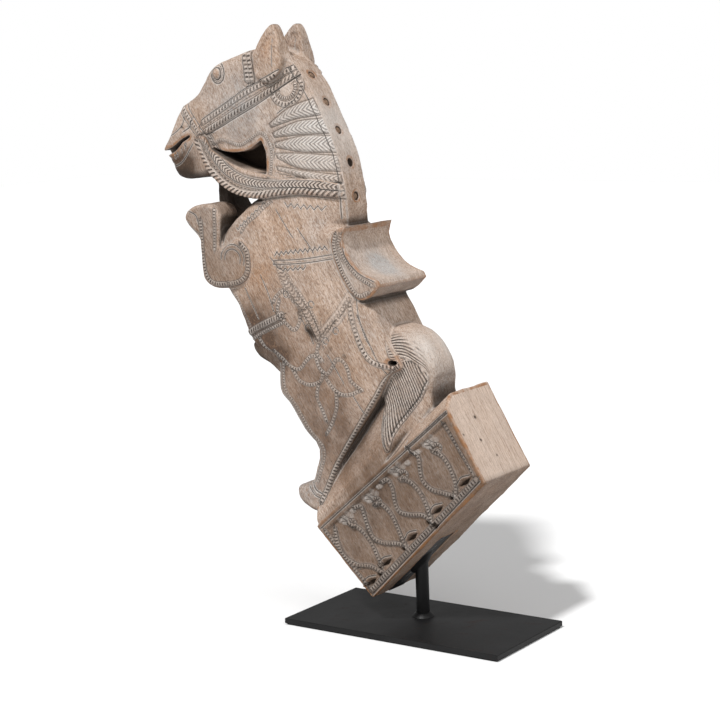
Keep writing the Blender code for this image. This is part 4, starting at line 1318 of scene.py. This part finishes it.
def wood_material():
    """Weathered teak: fibres, patches of grey and brown, limewash left in the carving, and painted
    shade in its hollows, incised lines and bead gaps.
    """
    n = Nodes("limewashed_teak")
    turn = (0.0, FIBRE_LEAN, 0.0)
    fibre = n.place(turn, (1.0, 1.0, 5.5))
    streak = n.place(turn, (1.0, 1.0, 5.0))
    plain = n.place()

    fine = n.noise(fibre, 900.0, 4.0, 0.72)
    grain = n.noise(fibre, 420.0, 5.0, 0.65, 0.3)
    patch = n.noise(streak, 45.0, 5.0, 0.62)
    cloud = n.noise(plain, 14.0, 4.0, 0.55)
    blotch = n.noise(plain, 48.0, 4.0, 0.6)
    speck = n.noise(plain, 620.0, 2.0, 0.7)

    tan, brown, pink = (0.43, 0.305, 0.225), (0.215, 0.130, 0.082), (0.54, 0.410, 0.325)
    grey, dark, wash = (0.33, 0.315, 0.305), (0.030, 0.019, 0.012), (0.66, 0.625, 0.59)
    rust, umber_brown = (0.40, 0.205, 0.095), (0.100, 0.062, 0.042)
    fresh, arris = (0.63, 0.505, 0.42), (0.29, 0.140, 0.062)
    colour = n.mix(n.span(patch, 0.42, 0.58), tan, pink)
    warm = n.maths("MULTIPLY", n.attribute("warm"), n.span(blotch, 0.35, 0.65, 0.2, 1.0))
    colour = n.mix(n.maths("MULTIPLY", warm, 0.65, clamp=True), colour, rust)
    greyed = n.maths("ADD", n.span(cloud, 0.48, 0.74, 0.0, 0.65), n.attribute("grey"))
    greyed = n.maths("MULTIPLY", greyed, n.span(blotch, 0.30, 0.60, 0.3, 0.8), clamp=True)
    colour = n.mix(greyed, colour, grey)
    colour = n.mix(n.span(blotch, 0.56, 0.76, 0.0, 0.45), colour, brown)
    colour = n.mix(n.span(grain, 0.48, 0.68, 0.0, 0.55), colour, brown)
    colour = n.mix(n.span(fine, 0.52, 0.63, 0.0, 0.40), colour, wash)
    # Umber darkening: dirt on the plinth's sides, and painted shade on downward faces, under the chin
    # and on the far hind knee.
    umber = n.maths("MULTIPLY", n.attribute("umber"), n.span(blotch, 0.30, 0.60, 0.7, 1.15),
                    clamp=True)
    colour = n.mix(umber, colour, umber_brown)
    colour = n.mix(n.maths("MULTIPLY", n.attribute("sawn"), 0.60), colour, fresh)
    solid = n.span(n.attribute("sawn"), 0.0, 1.0, 1.0, 0.35)
    colour = n.mix(n.maths("MULTIPLY", n.span(fine, 0.47, 0.36, 0.0, 0.55), solid), colour, dark)
    pits = n.noise(n.place(turn, (1.0, 1.0, 2.0)), 560.0, 3.0, 0.7)
    colour = n.mix(n.maths("MULTIPLY", n.span(pits, 0.47, 0.36, 0.0, 0.70), solid), colour, brown)
    sawn_grain = n.noise(n.place(turn, (1.0, 1.0, 30.0)), 620.0, 4.0, 0.7)
    end_lines = n.maths("MULTIPLY", n.span(sawn_grain, 0.52, 0.64, 0.0, 0.55), n.attribute("sawn"))
    colour = n.mix(end_lines, colour, brown)

    rubbed = n.span(n.noise(plain, 90.0, 4.0, 0.6), 0.40, 0.58, 0.15, 0.92)
    worn = n.maths("MULTIPLY", n.span(n.attribute("edge"), 0.12, 0.27), rubbed)
    colour = n.mix(worn, colour, arris)

    core, lips, gaps, rows, height = carved_lines(n)
    spread = n.span(speck, 0.30, 0.60, 0.35, 1.0)
    washed = n.maths("MAXIMUM", n.maths("MULTIPLY", rows, 0.46), n.maths("MULTIPLY", lips, 0.66))
    washed = n.maths("MAXIMUM", washed, n.attribute("wash"))
    washed = n.maths("MAXIMUM", washed, n.span(n.attribute("hollow"), 0.06, 0.25, 0.0, 0.50))
    colour = n.mix(n.maths("MULTIPLY", washed, spread, clamp=True), colour, wash)
    # Painted shade: hollows and deep recesses are darkened in colour.
    painted_hollow_shade = n.maths("MAXIMUM", n.span(n.attribute("hollow"), 0.22, 0.50),
                   n.span(n.attribute("deep"), 0.24, 0.80, 0.0, 0.9))
    colour = n.mix(n.maths("MULTIPLY", painted_hollow_shade, 0.88), colour, dark)
    # Painted shade: the cores of incised lines and the gaps between beads are darkened in colour.
    painted_line_shade = n.maths("MAXIMUM", n.maths("MULTIPLY", core, 0.76), n.maths("MULTIPLY", gaps, 0.88))
    painted_line_shade = n.maths("MULTIPLY", painted_line_shade, n.span(speck, 0.25, 0.50, 0.55, 1.0))
    colour = n.mix(painted_line_shade, colour, dark)
    # Darkens by the stain layer: real stains, knots and dark holes, and painted shade in the throat,
    # under the chin, on the far legs and in the mane's trenches.
    colour = n.mix(n.span(n.attribute("stain"), 0.10, 0.95, 0.0, 0.96), colour, dark)
    n.set(Base_Color=colour, Roughness=n.span(grain, 0.3, 0.7, 0.78, 0.92))
    n.shader.inputs["Specular IOR Level"].default_value = 0.25
    fibres = n.bump(n.maths("ADD", grain, n.maths("MULTIPLY", fine, 0.8)), 0.0012, 0.9)
    fibres = n.bump(speck, 0.0002, 0.4, fibres)
    n.set(Normal=n.bump(height, 1.0, 1.0, fibres))
    return n.material


def peg_material():
    n = Nodes("peg_end_grain")
    grain = n.noise(n.place((0, 0.6, 0), (1, 1, 5.0)), 700.0, 3.0)
    colour = n.mix(n.span(grain, 0.35, 0.65), (0.055, 0.032, 0.020), (0.30, 0.19, 0.12))
    n.set(Base_Color=colour, Roughness=n.span(grain, 0.3, 0.7, 0.75, 0.95),
          Normal=n.bump(grain, 0.0005, 0.6))
    return n.material


def steel_material():
    """Blackened plate: satin, mottled, with faint rust showing through."""
    n = Nodes("blackened_steel")
    plain = n.place()
    cloud = n.noise(plain, 14.0, 4.0, 0.6)
    fine = n.noise(plain, 380.0, 3.0, 0.6)
    patch = n.noise(n.place((0, 0, 0.4), (1, 0.5, 1)), 26.0, 5.0, 0.65, 0.5)
    colour = n.mix(n.span(cloud, 0.35, 0.7), (0.005, 0.005, 0.0053), (0.011, 0.0108, 0.0110))
    rusty = n.maths("MULTIPLY", n.span(patch, 0.60, 0.74), n.span(fine, 0.42, 0.60))
    colour = n.mix(n.maths("MULTIPLY", rusty, 0.5), colour, (0.060, 0.022, 0.015))
    rough = n.maths("ADD", n.span(cloud, 0.3, 0.7, 0.42, 0.56), n.maths("MULTIPLY", rusty, 0.25))
    n.set(Base_Color=colour, Roughness=rough, Normal=n.bump(fine, 0.00012, 0.5))
    n.shader.inputs["Specular IOR Level"].default_value = 0.22
    return n.material


def screw_material():
    n = Nodes("zinc_screw")
    brush = n.noise(n.place((0, -0.78, 0), (1, 1, 10.0)), 1400.0, 2.0)
    colour = n.mix(n.span(brush, 0.3, 0.7), (0.030, 0.029, 0.028), (0.075, 0.072, 0.070))
    n.set(Base_Color=colour, Roughness=n.span(brush, 0.3, 0.7, 0.30, 0.50))
    n.shader.inputs["Metallic"].default_value = 1.0
    return n.material


def felt_material():
    n = Nodes("black_felt")
    fibres = n.noise(n.place(), 1600.0, 4.0, 0.7)
    colour = n.mix(n.span(fibres, 0.3, 0.7), (0.006, 0.006, 0.006), (0.028, 0.028, 0.027))
    n.set(Base_Color=colour, Roughness=n.span(fibres, 0.3, 0.7, 0.90, 1.0),
          Normal=n.bump(fibres, 0.0004, 0.8))
    return n.material


def dress(node, material):
    """Gives a CAD node its finished material."""
    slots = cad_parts[node].material_slots
    for slot in slots:
        slot.material = material
    if not slots:
        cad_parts[node].data.materials.append(material)


# --- stage --------------------------------------------------------------------------
def make_floor():
    size = 6.0
    mesh = bpy.data.meshes.new("floor")
    corners = [(-size, -size, 0), (size, -size, 0), (size, size, 0), (-size, size, 0)]
    mesh.from_pydata(corners, [], [(0, 1, 2, 3)])
    floor = bpy.data.objects.new("floor", mesh)
    bpy.context.scene.collection.objects.link(floor)
    n = Nodes("pale_floor")
    paper = n.noise(n.place(), 3.0, 2.0)
    n.set(Base_Color=n.mix(paper, (0.80, 0.80, 0.80), (0.82, 0.82, 0.82)), Roughness=0.95)
    mesh.materials.append(n.material)


def light_scene():
    """A white studio: even light from all round, a key from above and in front, and a soft
    fill from the right. The backdrop is full white to the camera and dimmer as a light."""
    ambient, backdrop = 0.42, 1.00
    world = bpy.data.worlds.new("studio")
    world.use_nodes = True
    tree = world.node_tree
    seen = tree.nodes.new("ShaderNodeLightPath").outputs["Is Camera Ray"]
    strength = tree.nodes.new("ShaderNodeMapRange")
    tree.links.new(seen, strength.inputs["Value"])
    strength.inputs["To Min"].default_value = ambient
    strength.inputs["To Max"].default_value = backdrop
    tree.links.new(strength.outputs[0], tree.nodes["Background"].inputs["Strength"])
    tree.nodes["Background"].inputs["Color"].default_value = (1, 1, 1, 1)
    bpy.context.scene.world = world
    add_sun("key", (-0.05, -0.66, 1.0), power=3.0, width=6.0)
    add_sun("fill", (0.90, -0.20, 0.80), power=0.9, width=50.0)
    bpy.context.scene.view_settings.view_transform = "Standard"


def add_sun(name, towards, power, width):
    """A sun lamp in the direction towards, width degrees across."""
    light = bpy.data.lights.new(name, "SUN")
    light.energy = power
    light.angle = math.radians(width)
    lamp = bpy.data.objects.new(name, light)
    lamp.rotation_mode = "QUATERNION"
    lamp.rotation_quaternion = Vector(towards).to_track_quat("Z", "Y")
    bpy.context.scene.collection.objects.link(lamp)


def make_camera():
    """The viewing angle: from the front right, slightly above, with a little roll."""
    azimuth, elevation, roll = math.radians(35.4), math.radians(9.3), math.radians(-2.1)
    distance, target = 2.12, Vector((-0.072, 0.0, 0.297))
    back = Vector((math.sin(azimuth) * math.cos(elevation),
                   -math.cos(azimuth) * math.cos(elevation), math.sin(elevation)))
    data = bpy.data.cameras.new("camera")
    data.sensor_width = 36.0
    data.lens = 95.0
    camera = bpy.data.objects.new("camera", data)
    bpy.context.scene.collection.objects.link(camera)
    turn = (-back).to_track_quat("-Z", "Y").to_matrix() @ Matrix.Rotation(roll, 3, "Z")
    camera.matrix_world = Matrix.Translation(target + back * distance) @ turn.to_4x4()
    bpy.context.scene.camera = camera


# --- build --------------------------------------------------------------------------
make_camera()
light_scene()
make_floor()

carving = make_carving()
carving.data.materials.append(wood_material())
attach(carving, "root")
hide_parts("horse_carving")

steel = steel_material()
for name in ("base_plate", "upright_rod", "foot_weld", "strap_weld", "mounting_strap"):
    dress(name, steel)
pegs = peg_material()
screws = screw_material()
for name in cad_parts:
    if name.startswith("mane_peg"):
        dress(name, pegs)
    if name.startswith("strap_screw"):
        dress(name, screws)
dress("base_felt", felt_material())
